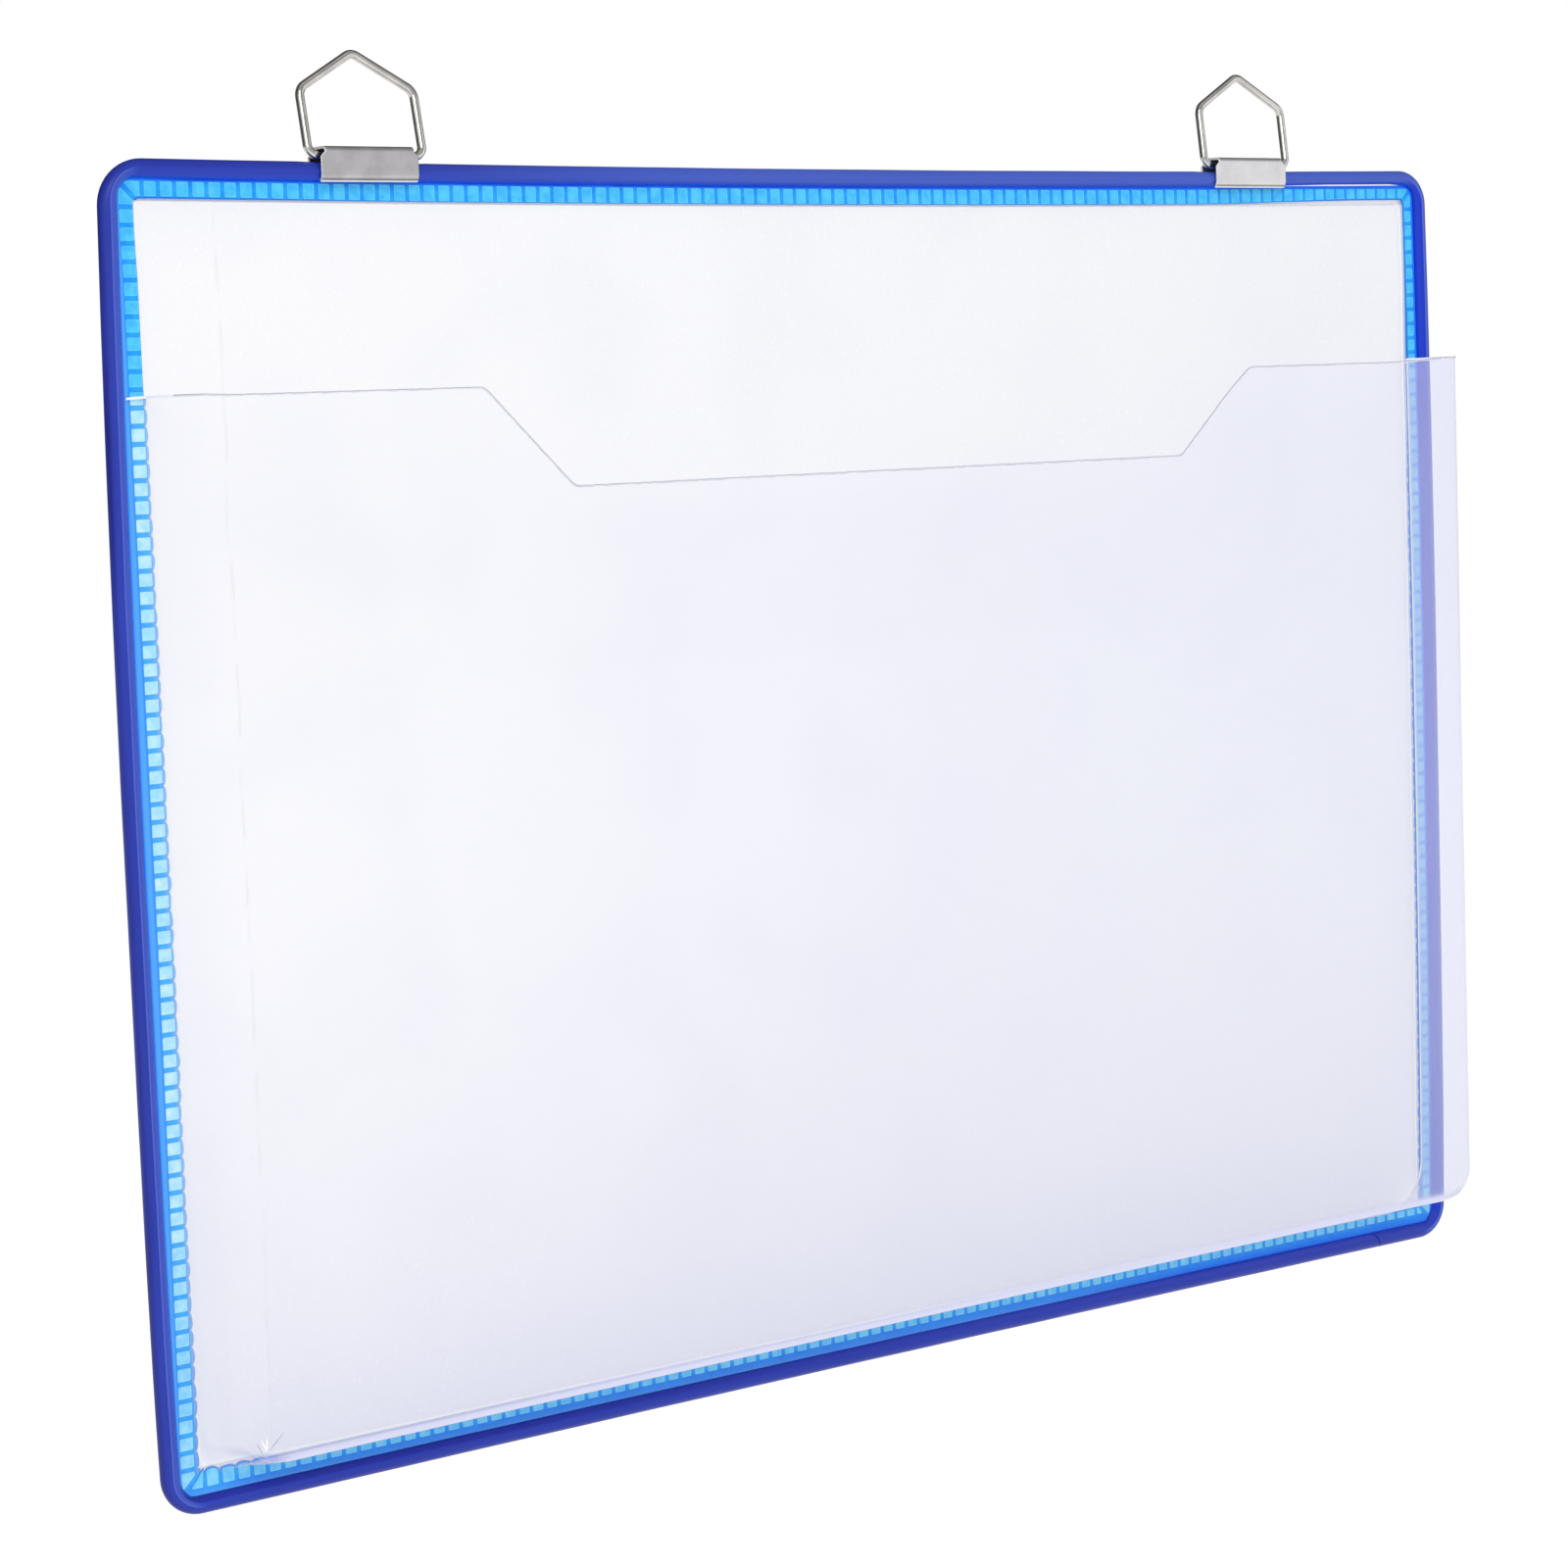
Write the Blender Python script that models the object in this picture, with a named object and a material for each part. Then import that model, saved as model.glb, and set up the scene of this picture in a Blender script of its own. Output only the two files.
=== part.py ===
"""Hanging document pocket, landscape.

A steel wire loop runs inside a blue plastic edge piping. A frosted back sheet and a clear,
folded front pocket are welded to the piping's flange. Two folded steel clips straddle the top
edge, and each holds a five-sided wire ring that tips to and fro on its bar.

Metres. +Z is up, +X is to the right seen from the front, +Y is towards the wall.
The origin is midway between the two places where a hook holds the rings.
"""
import math

import bmesh
import bpy
from mathutils import Vector

# Whole frame, over the outside of the piping
FRAME_WIDTH = 0.3319
FRAME_HEIGHT = 0.2456
FRAME_CORNER_RADIUS = 0.0076
SIDE_BULGE = 0.0015
TOP_SAG = 0.0009

# Space left between pieces that touch or are pressed together
FIT_GAP = 0.0003

# Steel wire and the piping drawn over it
WIRE_DIAMETER = 0.0018
PIPING_WALL = 0.0006
FLANGE_WIDTH = 0.0056
FLANGE_THICKNESS = 0.0004
FLANGE_INNER_RADIUS = 0.0010
SEAM_FROM_CORNER = 0.0144

# Plastic sheets
FILM = 0.0003
POCKET_DEPTH = 0.0192
POCKET_TOP_DROP = 0.0422
MOUTH_GAPE = 0.0006
MOUTH_SAG = 0.0074
SIDE_WALL_TAPER = 0.0011
BOTTOM_WALL_LEAN = 0.0040
FOOT_INSET = 0.0004
FOOT_BEND = 0.0006
FOLD_RADIUS = 0.0040
POCKET_CORNER_RADIUS = 0.0085
CUTOUT_TOP_WIDTH = 0.1940
CUTOUT_BOTTOM_WIDTH = 0.1545
CUTOUT_DEPTH = 0.0190
CUTOUT_CORNER_RADIUS = 0.0030

# Folded clips on the top edge
CLIP_FROM_LEFT_END = 0.0542
CLIP_FROM_RIGHT_END = 0.0555
CLIP_WIDTH = 0.0206
CLIP_SHEET = 0.0005
CLIP_BEND_RADIUS = 0.0010
CLIP_SKIRT = 0.0001
CLIP_CRIMP = 0.0006
CLIP_CRIMP_HEIGHT = 0.0013
CLIP_CORNER_CUT = 0.0009

# Wire rings, measured along the middle of the wire to where its straight runs would meet
RING_WIRE = 0.0017
RING_SIDE_PLAY = 0.0010
RING_SHOULDER_HEIGHT = 0.0125
RING_HEIGHT = 0.0196
RING_FOOT_RADIUS = 0.0020
RING_SHOULDER_RADIUS = 0.0026
RING_TOP_RADIUS = 0.0022
RING_LEAN_LEFT = math.radians(12.0)
RING_LEAN_RIGHT = math.radians(7.5)

# How finely round shapes are divided
SIDE_STEPS = 8
CORNER_STEPS = 6
PIPING_STEPS = 12
WIRE_STEPS = 8
BEND_STEPS = 4
RING_STEPS = 8
PANEL_COLUMN = 0.0260

# Sizes worked out from those above
HALF_WIDTH = FRAME_WIDTH / 2
HALF_HEIGHT = FRAME_HEIGHT / 2
BORE_RADIUS = WIRE_DIAMETER / 2 + FIT_GAP
RIM_RADIUS = BORE_RADIUS + PIPING_WALL
FLANGE_FACE = FLANGE_THICKNESS / 2
SHEET_MIDDLE = FLANGE_FACE + FIT_GAP + FILM / 2
SHEET_EDGE = RIM_RADIUS + FIT_GAP
POCKET_TOP = HALF_HEIGHT - POCKET_TOP_DROP
FOOT_X = HALF_WIDTH - RIM_RADIUS - FLANGE_WIDTH - FOOT_INSET
FOOT_Z = HALF_HEIGHT - RIM_RADIUS - FLANGE_WIDTH - FOOT_INSET
PANEL_X = FOOT_X - FOLD_RADIUS
PANEL_LOW = FOLD_RADIUS + BOTTOM_WALL_LEAN - FOOT_Z
PANEL_RUN = FOOT_X - POCKET_CORNER_RADIUS
LEFT_CLIP_X = CLIP_FROM_LEFT_END - HALF_WIDTH
RIGHT_CLIP_X = HALF_WIDTH - CLIP_FROM_RIGHT_END
BAR_RADIUS = RING_WIRE / 2
RING_HALF_WIDTH = CLIP_WIDTH / 2 + RING_SIDE_PLAY + BAR_RADIUS

# Both rings have slid to the right in their clips, as far as their play lets them
RING_SLIDE = RING_SIDE_PLAY - FIT_GAP
LEFT_RING_X = LEFT_CLIP_X + RING_SLIDE
RIGHT_RING_X = RIGHT_CLIP_X + RING_SLIDE


def bowed(x, z, share=1.0):
    """Bow a point of the flat frame: outwards at the sides, inwards at top and bottom."""
    bulge = share * SIDE_BULGE / HALF_WIDTH * (1 - (z / HALF_HEIGHT) ** 2)
    sag = share * TOP_SAG / HALF_HEIGHT * (1 - (x / HALF_WIDTH) ** 2)
    return x * (1 + bulge), z * (1 - sag)


RIM_MIDDLE_AT_CLIP = bowed(LEFT_CLIP_X, HALF_HEIGHT)[1] - RIM_RADIUS
BAR_HEIGHT = RIM_MIDDLE_AT_CLIP + RIM_RADIUS + FIT_GAP + BAR_RADIUS


def stretch(start, end, steps):
    """Evenly spaced points from start up to, but not including, end."""
    points = []
    for step in range(steps):
        share = step / steps
        points.append((start[0] + (end[0] - start[0]) * share, start[1] + (end[1] - start[1]) * share))
    return points


def quarter(middle_x, middle_z, radius, first_angle):
    """A quarter turn round a corner, anticlockwise seen from the front, without its last point."""
    points = []
    for step in range(CORNER_STEPS):
        angle = first_angle + math.pi / 2 * step / CORNER_STEPS
        points.append((middle_x + radius * math.cos(angle), middle_z + radius * math.sin(angle)))
    return points


def frame_outline(inset, radius, seam_gap):
    """Once round the frame, from just right of the piping's seam to just left of it."""
    half_x = HALF_WIDTH - inset
    half_z = HALF_HEIGHT - inset
    run_x = half_x - radius
    run_z = half_z - radius
    seam_x = HALF_WIDTH - FRAME_CORNER_RADIUS - SEAM_FROM_CORNER
    points = stretch((seam_x + seam_gap / 2, -half_z), (run_x, -half_z), 1)
    points += quarter(run_x, -run_z, radius, -math.pi / 2)
    points += stretch((half_x, -run_z), (half_x, run_z), SIDE_STEPS)
    points += quarter(run_x, run_z, radius, 0)
    points += stretch((run_x, half_z), (-run_x, half_z), SIDE_STEPS)
    points += quarter(-run_x, run_z, radius, math.pi / 2)
    points += stretch((-half_x, run_z), (-half_x, -run_z), SIDE_STEPS)
    points += quarter(-run_x, -run_z, radius, math.pi)
    points += stretch((-run_x, -half_z), (seam_x - seam_gap / 2, -half_z), SIDE_STEPS)
    if seam_gap:
        points.append((seam_x - seam_gap / 2, -half_z))
    return points


def add_rows(mesh, rows):
    """Add each row of points to the mesh and return the rows of vertices."""
    return [[mesh.verts.new(point) for point in row] for row in rows]


def join_rows(mesh, rows, rows_close, row_closes):
    """Cover the surface between neighbouring rows with four-sided faces."""
    row_count = len(rows) if rows_close else len(rows) - 1
    point_count = len(rows[0]) if row_closes else len(rows[0]) - 1
    for row in range(row_count):
        near = rows[row]
        far = rows[(row + 1) % len(rows)]
        for point in range(point_count):
            following = (point + 1) % len(near)
            mesh.faces.new((near[point], near[following], far[following], far[point]))


def finish_object(mesh, name, material):
    """Turn the faces outwards, shade the round parts smooth and put the object in the scene."""
    bmesh.ops.recalc_face_normals(mesh, faces=mesh.faces)
    data = bpy.data.meshes.new(name)
    mesh.to_mesh(data)
    mesh.free()
    data.shade_smooth()
    data.set_sharp_from_angle(angle=math.radians(35))
    data.materials.append(material)
    piece = bpy.data.objects.new(name, data)
    bpy.context.collection.objects.link(piece)
    return piece


def make_material(name, colour, roughness, metallic, alpha=1.0):
    """A plain material of the photographed colour."""
    material = bpy.data.materials.new(name)
    material.use_nodes = True
    shader = material.node_tree.nodes["Principled BSDF"]
    shader.inputs["Base Color"].default_value = (*colour, 1)
    shader.inputs["Roughness"].default_value = roughness
    shader.inputs["Metallic"].default_value = metallic
    shader.inputs["Alpha"].default_value = alpha
    return material


def ring_of_section(outward, depth, seam_gap):
    """One lengthwise row of a section that is carried round the frame, concentric with the rim."""
    corner = FRAME_CORNER_RADIUS - RIM_RADIUS + outward
    row = []
    for x, z in frame_outline(RIM_RADIUS - outward, corner, seam_gap):
        bowed_x, bowed_z = bowed(x, z)
        row.append((bowed_x, depth, bowed_z))
    return row


def flange_edge_row(depth):
    """The flange's inner edge, which is cut nearly square in the corners and bows less."""
    edge_share = 0.6
    row = []
    for x, z in frame_outline(RIM_RADIUS + FLANGE_WIDTH, FLANGE_INNER_RADIUS, FIT_GAP):
        bowed_x, bowed_z = bowed(x, z, edge_share)
        row.append((bowed_x, depth, bowed_z))
    return row


def make_wire_frame(material):
    """The steel wire, bent to a loop and welded end to end."""
    rows = []
    for step in range(WIRE_STEPS):
        angle = math.tau * step / WIRE_STEPS
        outward = WIRE_DIAMETER / 2 * math.cos(angle)
        depth = WIRE_DIAMETER / 2 * math.sin(angle)
        rows.append(ring_of_section(outward, depth, 0))
    mesh = bmesh.new()
    join_rows(mesh, add_rows(mesh, rows), True, True)
    return finish_object(mesh, "wire_frame", material)


def bore_row(angle):
    """One lengthwise row of the piping's bore, at an angle from the flange."""
    return ring_of_section(-BORE_RADIUS * math.cos(angle), BORE_RADIUS * math.sin(angle), FIT_GAP)


def rim_row(angle):
    """One lengthwise row of the piping's round outside, at an angle from the flange."""
    return ring_of_section(-RIM_RADIUS * math.cos(angle), RIM_RADIUS * math.sin(angle), FIT_GAP)


def make_edge_piping(material):
    """The extruded piping: a bored rim with a flat flange, butted at one seam."""
    root_angle = math.asin(FLANGE_FACE / RIM_RADIUS)
    outer = [flange_edge_row(FLANGE_FACE)]
    bore = [bore_row(root_angle / 2)]
    for step in range(PIPING_STEPS + 1):
        angle = root_angle + (math.tau - 2 * root_angle) * step / PIPING_STEPS
        outer.append(rim_row(angle))
        bore.append(bore_row(angle))
    outer.append(flange_edge_row(-FLANGE_FACE))
    bore.append(bore_row(math.tau - root_angle / 2))
    mesh = bmesh.new()
    outer_rows = add_rows(mesh, outer)
    bore_rows = add_rows(mesh, bore)
    join_rows(mesh, outer_rows, True, False)
    join_rows(mesh, bore_rows, True, False)
    for end in (0, -1):
        for row in range(len(outer_rows)):
            following = (row + 1) % len(outer_rows)
            corners = (outer_rows[row][end], outer_rows[following][end])
            mesh.faces.new((*corners, bore_rows[following][end], bore_rows[row][end]))
    return finish_object(mesh, "edge_piping", material)


def make_back_sheet(material):
    """The frosted sheet behind the flange."""
    front = ring_of_section(-SHEET_EDGE, SHEET_MIDDLE - FILM / 2, 0)
    back = [(x, y + FILM, z) for x, y, z in front]
    mesh = bmesh.new()
    rows = add_rows(mesh, [front, back])
    join_rows(mesh, rows, False, True)
    mesh.faces.new(rows[0])
    mesh.faces.new(rows[1])
    return finish_object(mesh, "back_sheet", material)


def front_point(x, depth, z):
    """A point of the folded front, which narrows and gapes a little towards its mouth."""
    share = z / HALF_HEIGHT
    return x * (1 - share * SIDE_WALL_TAPER / HALF_WIDTH), -depth - share * MOUTH_GAPE, z


def rounded_path(corners, radii, steps):
    """An open path of (x, z) points whose inner corners are replaced by arcs."""
    points = [corners[0]]
    for index in range(1, len(corners) - 1):
        corner = Vector(corners[index])
        to_last = (Vector(corners[index - 1]) - corner).normalized()
        to_next = (Vector(corners[index + 1]) - corner).normalized()
        half_angle = to_last.angle(to_next) / 2
        middle = corner + (to_last + to_next).normalized() * (radii[index - 1] / math.sin(half_angle))
        reach = radii[index - 1] / math.tan(half_angle)
        first = corner + to_last * reach - middle
        last = corner + to_next * reach - middle
        for step in range(steps + 1):
            spoke = first.slerp(last, step / steps)
            points.append(tuple(middle + spoke.normalized() * radii[index - 1]))
    points.append(corners[-1])
    return points


def run_of_panel_top():
    """The panel's top edge between its corner columns, with the shallow cut-out for fingers."""
    half_top = CUTOUT_TOP_WIDTH / 2
    half_bottom = CUTOUT_BOTTOM_WIDTH / 2
    floor = POCKET_TOP - CUTOUT_DEPTH
    corners = [(-PANEL_RUN, POCKET_TOP), (-half_top, POCKET_TOP), (-half_bottom, floor)]
    corners += [(-x, z) for x, z in reversed(corners)]
    path = rounded_path(corners, [CUTOUT_CORNER_RADIUS] * 4, BEND_STEPS)
    points = []
    for start, end in zip(path, path[1:]):
        points += stretch(start, end, max(round((end[0] - start[0]) / PANEL_COLUMN), 1))
    return points + [path[-1]]


def pocket_outline(half_x, bottom, radius):
    """Points down the left wall, along the bottom and up the right wall, with round corners."""
    run_x = half_x - radius
    run_z = bottom + radius
    points = stretch((-half_x, POCKET_TOP), (-half_x, run_z), SIDE_STEPS)
    points += quarter(-run_x, run_z, radius, math.pi)
    points += [(x / PANEL_RUN * run_x, bottom) for x, top in run_of_panel_top()[:-1]]
    points += quarter(run_x, run_z, radius, -math.pi / 2)
    points += stretch((half_x, run_z), (half_x, POCKET_TOP), SIDE_STEPS)
    points.append((half_x, POCKET_TOP))
    return points


def border_row(half_x, bottom, radius, depth):
    """One row of the pocket's welded border or its foot, bowed like the frame."""
    row = []
    for x, z in pocket_outline(half_x, bottom, radius):
        bowed_x, bowed_z = bowed(x, z)
        row.append((bowed_x, -depth, bowed_z))
    return row


def slack_point(x, z):
    """A point of the slack front panel, which bows back most in the middle of its mouth."""
    across = 1 - (x / PANEL_X) ** 2
    up = (z - PANEL_LOW) / (POCKET_TOP - PANEL_LOW)
    sag = MOUTH_SAG * across * up ** 2 * (3 - 2 * up)
    return front_point(x, POCKET_DEPTH - sag, z)


def add_panel(mesh, outline, edge):
    """Fill the folded edge with the front panel, in rows from wall to wall."""
    half = SIDE_STEPS + CORNER_STEPS // 2
    corner = stretch((-PANEL_X, POCKET_TOP), (-PANEL_RUN, POCKET_TOP), CORNER_STEPS // 2)
    top = corner[1:] + run_of_panel_top() + [(-x, z) for x, z in reversed(corner[1:])]
    bottom = outline[half + 1:-half - 1]
    rows = []
    for row in range(half):
        down = (POCKET_TOP - outline[row][1]) / (POCKET_TOP - outline[half][1])
        inside = []
        for high, low in zip(top, bottom):
            x = high[0] + (low[0] - high[0]) * down
            z = high[1] + (low[1] - high[1]) * down
            inside.append(mesh.verts.new(slack_point(x, z)))
        rows.append([edge[row], *inside, edge[-1 - row]])
    rows.append(edge[half:len(edge) - half])
    join_rows(mesh, rows, False, False)


def make_front_pocket(material):
    """The clear sheet: a welded border, three walls and a front panel, folded from one piece."""
    edge_x = HALF_WIDTH - RIM_RADIUS - SHEET_EDGE
    edge_z = HALF_HEIGHT - RIM_RADIUS - SHEET_EDGE
    edge_corner = FRAME_CORNER_RADIUS - RIM_RADIUS - SHEET_EDGE
    corner = POCKET_CORNER_RADIUS
    rows = [
        border_row(edge_x, -edge_z, edge_corner, SHEET_MIDDLE),
        border_row(FOOT_X + FOOT_BEND, -FOOT_Z - FOOT_BEND, corner + FOOT_BEND, SHEET_MIDDLE),
        border_row(FOOT_X, -FOOT_Z, corner, SHEET_MIDDLE + FOOT_BEND),
    ]
    for step in range(BEND_STEPS + 1):
        angle = math.pi / 2 * step / BEND_STEPS
        inset = FOLD_RADIUS * (1 - math.cos(angle))
        depth = POCKET_DEPTH - FOLD_RADIUS * (1 - math.sin(angle))
        outline = pocket_outline(FOOT_X - inset, inset + BOTTOM_WALL_LEAN - FOOT_Z, corner - inset)
        rows.append([front_point(x, depth, z) for x, z in outline])
    mesh = bmesh.new()
    vertex_rows = add_rows(mesh, rows)
    join_rows(mesh, vertex_rows, False, False)
    add_panel(mesh, outline, vertex_rows[-1])
    pocket = finish_object(mesh, "front_pocket", material)
    skin = pocket.modifiers.new("film", "SOLIDIFY")
    skin.thickness = FILM
    skin.offset = 0
    skin.use_even_offset = True
    return pocket


def clip_section():
    """The clip's folded profile: (outer y, outer z, inner y, inner z, half width) down the front."""
    inner_leg = RIM_RADIUS + FIT_GAP
    outer_leg = inner_leg + CLIP_SHEET
    inner_top = BAR_RADIUS + FIT_GAP
    outer_top = inner_top + CLIP_SHEET
    bottom = -BAR_RADIUS - FIT_GAP - 2 * RIM_RADIUS - CLIP_SKIRT
    crimp = bottom + CLIP_CRIMP_HEIGHT
    full = CLIP_WIDTH / 2
    narrow = full - CLIP_CORNER_CUT
    bend_z = outer_top - CLIP_BEND_RADIUS
    inner_bend = CLIP_BEND_RADIUS - CLIP_SHEET
    half = [
        (outer_leg - CLIP_CRIMP, bottom, inner_leg - CLIP_CRIMP, bottom, full),
        (outer_leg, crimp, inner_leg, crimp, full),
        (outer_leg, bend_z - CLIP_CORNER_CUT, inner_leg, bend_z - CLIP_CORNER_CUT, full),
    ]
    for step in range(BEND_STEPS + 1):
        angle = math.pi / 2 * step / BEND_STEPS
        across = math.cos(angle)
        up = math.sin(angle)
        outer = (outer_leg - CLIP_BEND_RADIUS * (1 - across), bend_z + CLIP_BEND_RADIUS * up)
        inner = (inner_leg - inner_bend * (1 - across), bend_z + inner_bend * up)
        half.append((*outer, *inner, narrow))
    front = []
    for outer_y, outer_z, inner_y, inner_z, wide in half:
        front.append((-outer_y, outer_z, -inner_y, inner_z, wide))
    return front + list(reversed(half))


def make_clip(name, x, material):
    """A strip of sheet steel folded over the rim and the ring's bar."""
    rows = []
    for outer_y, outer_z, inner_y, inner_z, wide in clip_section():
        outer = [(-wide, outer_y, outer_z), (wide, outer_y, outer_z)]
        inner = [(wide, inner_y, inner_z), (-wide, inner_y, inner_z)]
        rows.append(outer + inner)
    mesh = bmesh.new()
    vertex_rows = add_rows(mesh, rows)
    join_rows(mesh, vertex_rows, False, True)
    mesh.faces.new(vertex_rows[0])
    mesh.faces.new(vertex_rows[-1])
    clip = finish_object(mesh, name, material)
    clip.location = (x, 0, BAR_HEIGHT)
    return clip


def ring_corners():
    """The five-sided ring, from its cut in the middle of the bar round to the cut again."""
    half = [(FIT_GAP / 2, 0), (RING_HALF_WIDTH, 0), (RING_HALF_WIDTH, RING_SHOULDER_HEIGHT)]
    return half + [(0, RING_HEIGHT)] + [(-x, z) for x, z in reversed(half)]


def make_ring(name, x, lean, material):
    """A wire ring with its origin on the bar, which is the axis that it tips about."""
    lower_radii = [RING_FOOT_RADIUS, RING_SHOULDER_RADIUS]
    radii = lower_radii + [RING_TOP_RADIUS] + lower_radii[::-1]
    path = [Vector(point) for point in rounded_path(ring_corners(), radii, BEND_STEPS)]
    rows = []
    for index, point in enumerate(path):
        before = path[max(index - 1, 0)]
        after = path[min(index + 1, len(path) - 1)]
        ahead = (after - before).normalized()
        side = Vector((ahead.y, -ahead.x))
        row = []
        for step in range(RING_STEPS):
            angle = math.tau * step / RING_STEPS
            place = point + side * (BAR_RADIUS * math.cos(angle))
            row.append((place.x, BAR_RADIUS * math.sin(angle), place.y))
        rows.append(row)
    mesh = bmesh.new()
    vertex_rows = add_rows(mesh, rows)
    join_rows(mesh, vertex_rows, False, True)
    mesh.faces.new(vertex_rows[0])
    mesh.faces.new(vertex_rows[-1])
    ring = finish_object(mesh, name, material)
    ring.location = (x, 0, BAR_HEIGHT)
    ring.rotation_euler = (-lean, 0, 0)
    return ring


def hook_seat(lean):
    """Height and depth of the place under a ring's top where a hook sits."""
    half_angle = math.atan2(RING_HALF_WIDTH, RING_HEIGHT - RING_SHOULDER_HEIGHT)
    round_top = RING_HEIGHT - RING_TOP_RADIUS * (1 / math.sin(half_angle) - 1)
    reach = round_top - BAR_RADIUS
    return reach * math.sin(lean), BAR_HEIGHT + reach * math.cos(lean)


def place_origin(pieces):
    """Hang every piece on one empty, so that the world's origin is between the hook seats."""
    left_y, left_z = hook_seat(RING_LEAN_LEFT)
    right_y, right_z = hook_seat(RING_LEAN_RIGHT)
    middle = bpy.data.objects.new("frame_middle", None)
    middle_x = (LEFT_RING_X + RIGHT_RING_X) / 2
    middle.location = (-middle_x, -(left_y + right_y) / 2, -(left_z + right_z) / 2)
    bpy.context.collection.objects.link(middle)
    for piece in pieces:
        piece.parent = middle


def build():
    """Make every piece of the document pocket."""
    for old in list(bpy.data.objects):
        bpy.data.objects.remove(old, do_unlink=True)
    steel_wire = make_material("drawn_steel_wire", (0.42, 0.43, 0.45), 0.35, 1.0)
    blue_plastic = make_material("blue_soft_plastic", (0.03, 0.09, 0.55), 0.3, 0.0)
    frosted_film = make_material("frosted_clear_film", (0.92, 0.93, 0.97), 0.5, 0.0, 0.5)
    clear_film = make_material("clear_film", (0.88, 0.88, 0.96), 0.12, 0.0, 0.3)
    sheet_steel = make_material("nickelled_sheet_steel", (0.62, 0.61, 0.62), 0.3, 1.0)
    ring_steel = make_material("nickelled_wire", (0.6, 0.6, 0.58), 0.2, 1.0)
    place_origin([
        make_wire_frame(steel_wire),
        make_edge_piping(blue_plastic),
        make_back_sheet(frosted_film),
        make_front_pocket(clear_film),
        make_clip("clip_left", LEFT_CLIP_X, sheet_steel),
        make_clip("clip_right", RIGHT_CLIP_X, sheet_steel),
        make_ring("ring_left", LEFT_RING_X, RING_LEAN_LEFT, ring_steel),
        make_ring("ring_right", RIGHT_RING_X, RING_LEAN_RIGHT, ring_steel),
    ])


build()
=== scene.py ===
"""Looks of the hanging document pocket.

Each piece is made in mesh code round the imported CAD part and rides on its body. Metres, with +Z
up and +Y towards the wall. Piece shapes are worked out from the middle of the frame and moved to
the part's own origin when they are finished.
"""

import math

import bmesh
import bpy
from mathutils import Euler, Matrix, Vector, noise


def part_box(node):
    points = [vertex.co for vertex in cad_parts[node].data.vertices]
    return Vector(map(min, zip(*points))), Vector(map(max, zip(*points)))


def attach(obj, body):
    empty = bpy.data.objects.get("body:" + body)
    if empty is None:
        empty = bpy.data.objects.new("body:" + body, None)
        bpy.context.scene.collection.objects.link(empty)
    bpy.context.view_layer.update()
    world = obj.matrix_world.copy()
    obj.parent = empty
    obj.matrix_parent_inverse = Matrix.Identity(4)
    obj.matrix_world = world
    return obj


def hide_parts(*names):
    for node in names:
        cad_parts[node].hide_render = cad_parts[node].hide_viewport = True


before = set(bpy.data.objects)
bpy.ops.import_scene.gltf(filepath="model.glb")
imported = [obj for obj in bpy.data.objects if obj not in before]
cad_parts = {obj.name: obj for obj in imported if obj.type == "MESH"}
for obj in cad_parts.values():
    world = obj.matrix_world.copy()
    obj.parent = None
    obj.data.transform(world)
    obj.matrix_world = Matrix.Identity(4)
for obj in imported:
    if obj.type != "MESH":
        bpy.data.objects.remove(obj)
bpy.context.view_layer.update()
piping_low, piping_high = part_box("edge_piping")
FRAME_MIDDLE = (piping_low + piping_high) / 2

# Frame and piping, as in the CAD part
FRAME_WIDTH = 0.3319
FRAME_HEIGHT = 0.2456
FRAME_CORNER_RADIUS = 0.0076
SIDE_BULGE = 0.0015
TOP_SAG = 0.0009
BOTTOM_SAG = 0.0005
LOW_WIDENING = 0.0007
LEFT_CORNER_EXTRA = 0.0011
RIM_RADIUS = 0.0018
BORE_RADIUS = 0.0012
FLANGE_REACH = 0.0074
FLANGE_FACE = 0.0002
FLANGE_INNER_RADIUS = 0.0010
RIM_INNER_RADIUS = 0.0030
FLANGE_ROOT_RADIUS = 0.0022
SEAM_X = 0.14395
SEAM_GAP = 0.0004
SEAM_SLANT = 0.56

# Weld cells of the flange
CELLS_ALONG_TOP = 98
CELLS_UP_SIDE = 71
CELL_TO_MITRE = 0.70
CELL_ROOT = 0.0040
CELL_ROOT_RIGHT = 0.00415
CELL_INNER = 0.00705
CELL_INNER_RIGHT = 0.0063
CELL_INNER_LEFT = 0.00675
EDGE_TOP = 0.0071
EDGE_LEFT = 0.0068
EDGE_RIGHT = 0.0065
EDGE_DRIFT = 0.00045
TOP_RISE = 0.0006
BOTTOM_STRIP_LEFT = 0.00115
BOTTOM_STRIP_RIGHT = 0.0020
SEPARATOR_HALF = 0.00039
CELL_BEVEL = 0.00026
CELL_PRESS = 0.00013
FLASH_BOTTOM = 0.00085
FLASH_LEFT = 0.00058
FLASH_RIGHT = 0.0005

# Plastic sheets
FILM = 0.0003
SHEET_MIDDLE = 0.00065
SHEET_EDGE = 0.0039
SHEET_CREASE_X = -0.1429
POCKET_TOP = 0.0806
POCKET_DEPTH = 0.0192
MOUTH_GAPE = 0.0006
SIDE_WALL_TAPER = 0.0011
BOTTOM_WALL_LEAN = 0.0040
FOOT_INSET = 0.0078
FOOT_BEND = 0.0006
FOLD_RADIUS = 0.0040
FOOT_CORNER_LEFT = 0.0056
FOOT_CORNER_RIGHT = 0.0112
FRONT_CORNER_RADIUS = 0.0066
FRONT_CORNER_RIGHT = 0.0078
CUTOUT_TOP_WIDTH = 0.1940
CUTOUT_BOTTOM_WIDTH = 0.1545
CUTOUT_DEPTH = 0.0190
CUTOUT_CORNER_RADIUS = 0.0030
MOUTH_SAG = 0.0074
BOTTOM_TILT = 0.0007
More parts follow.
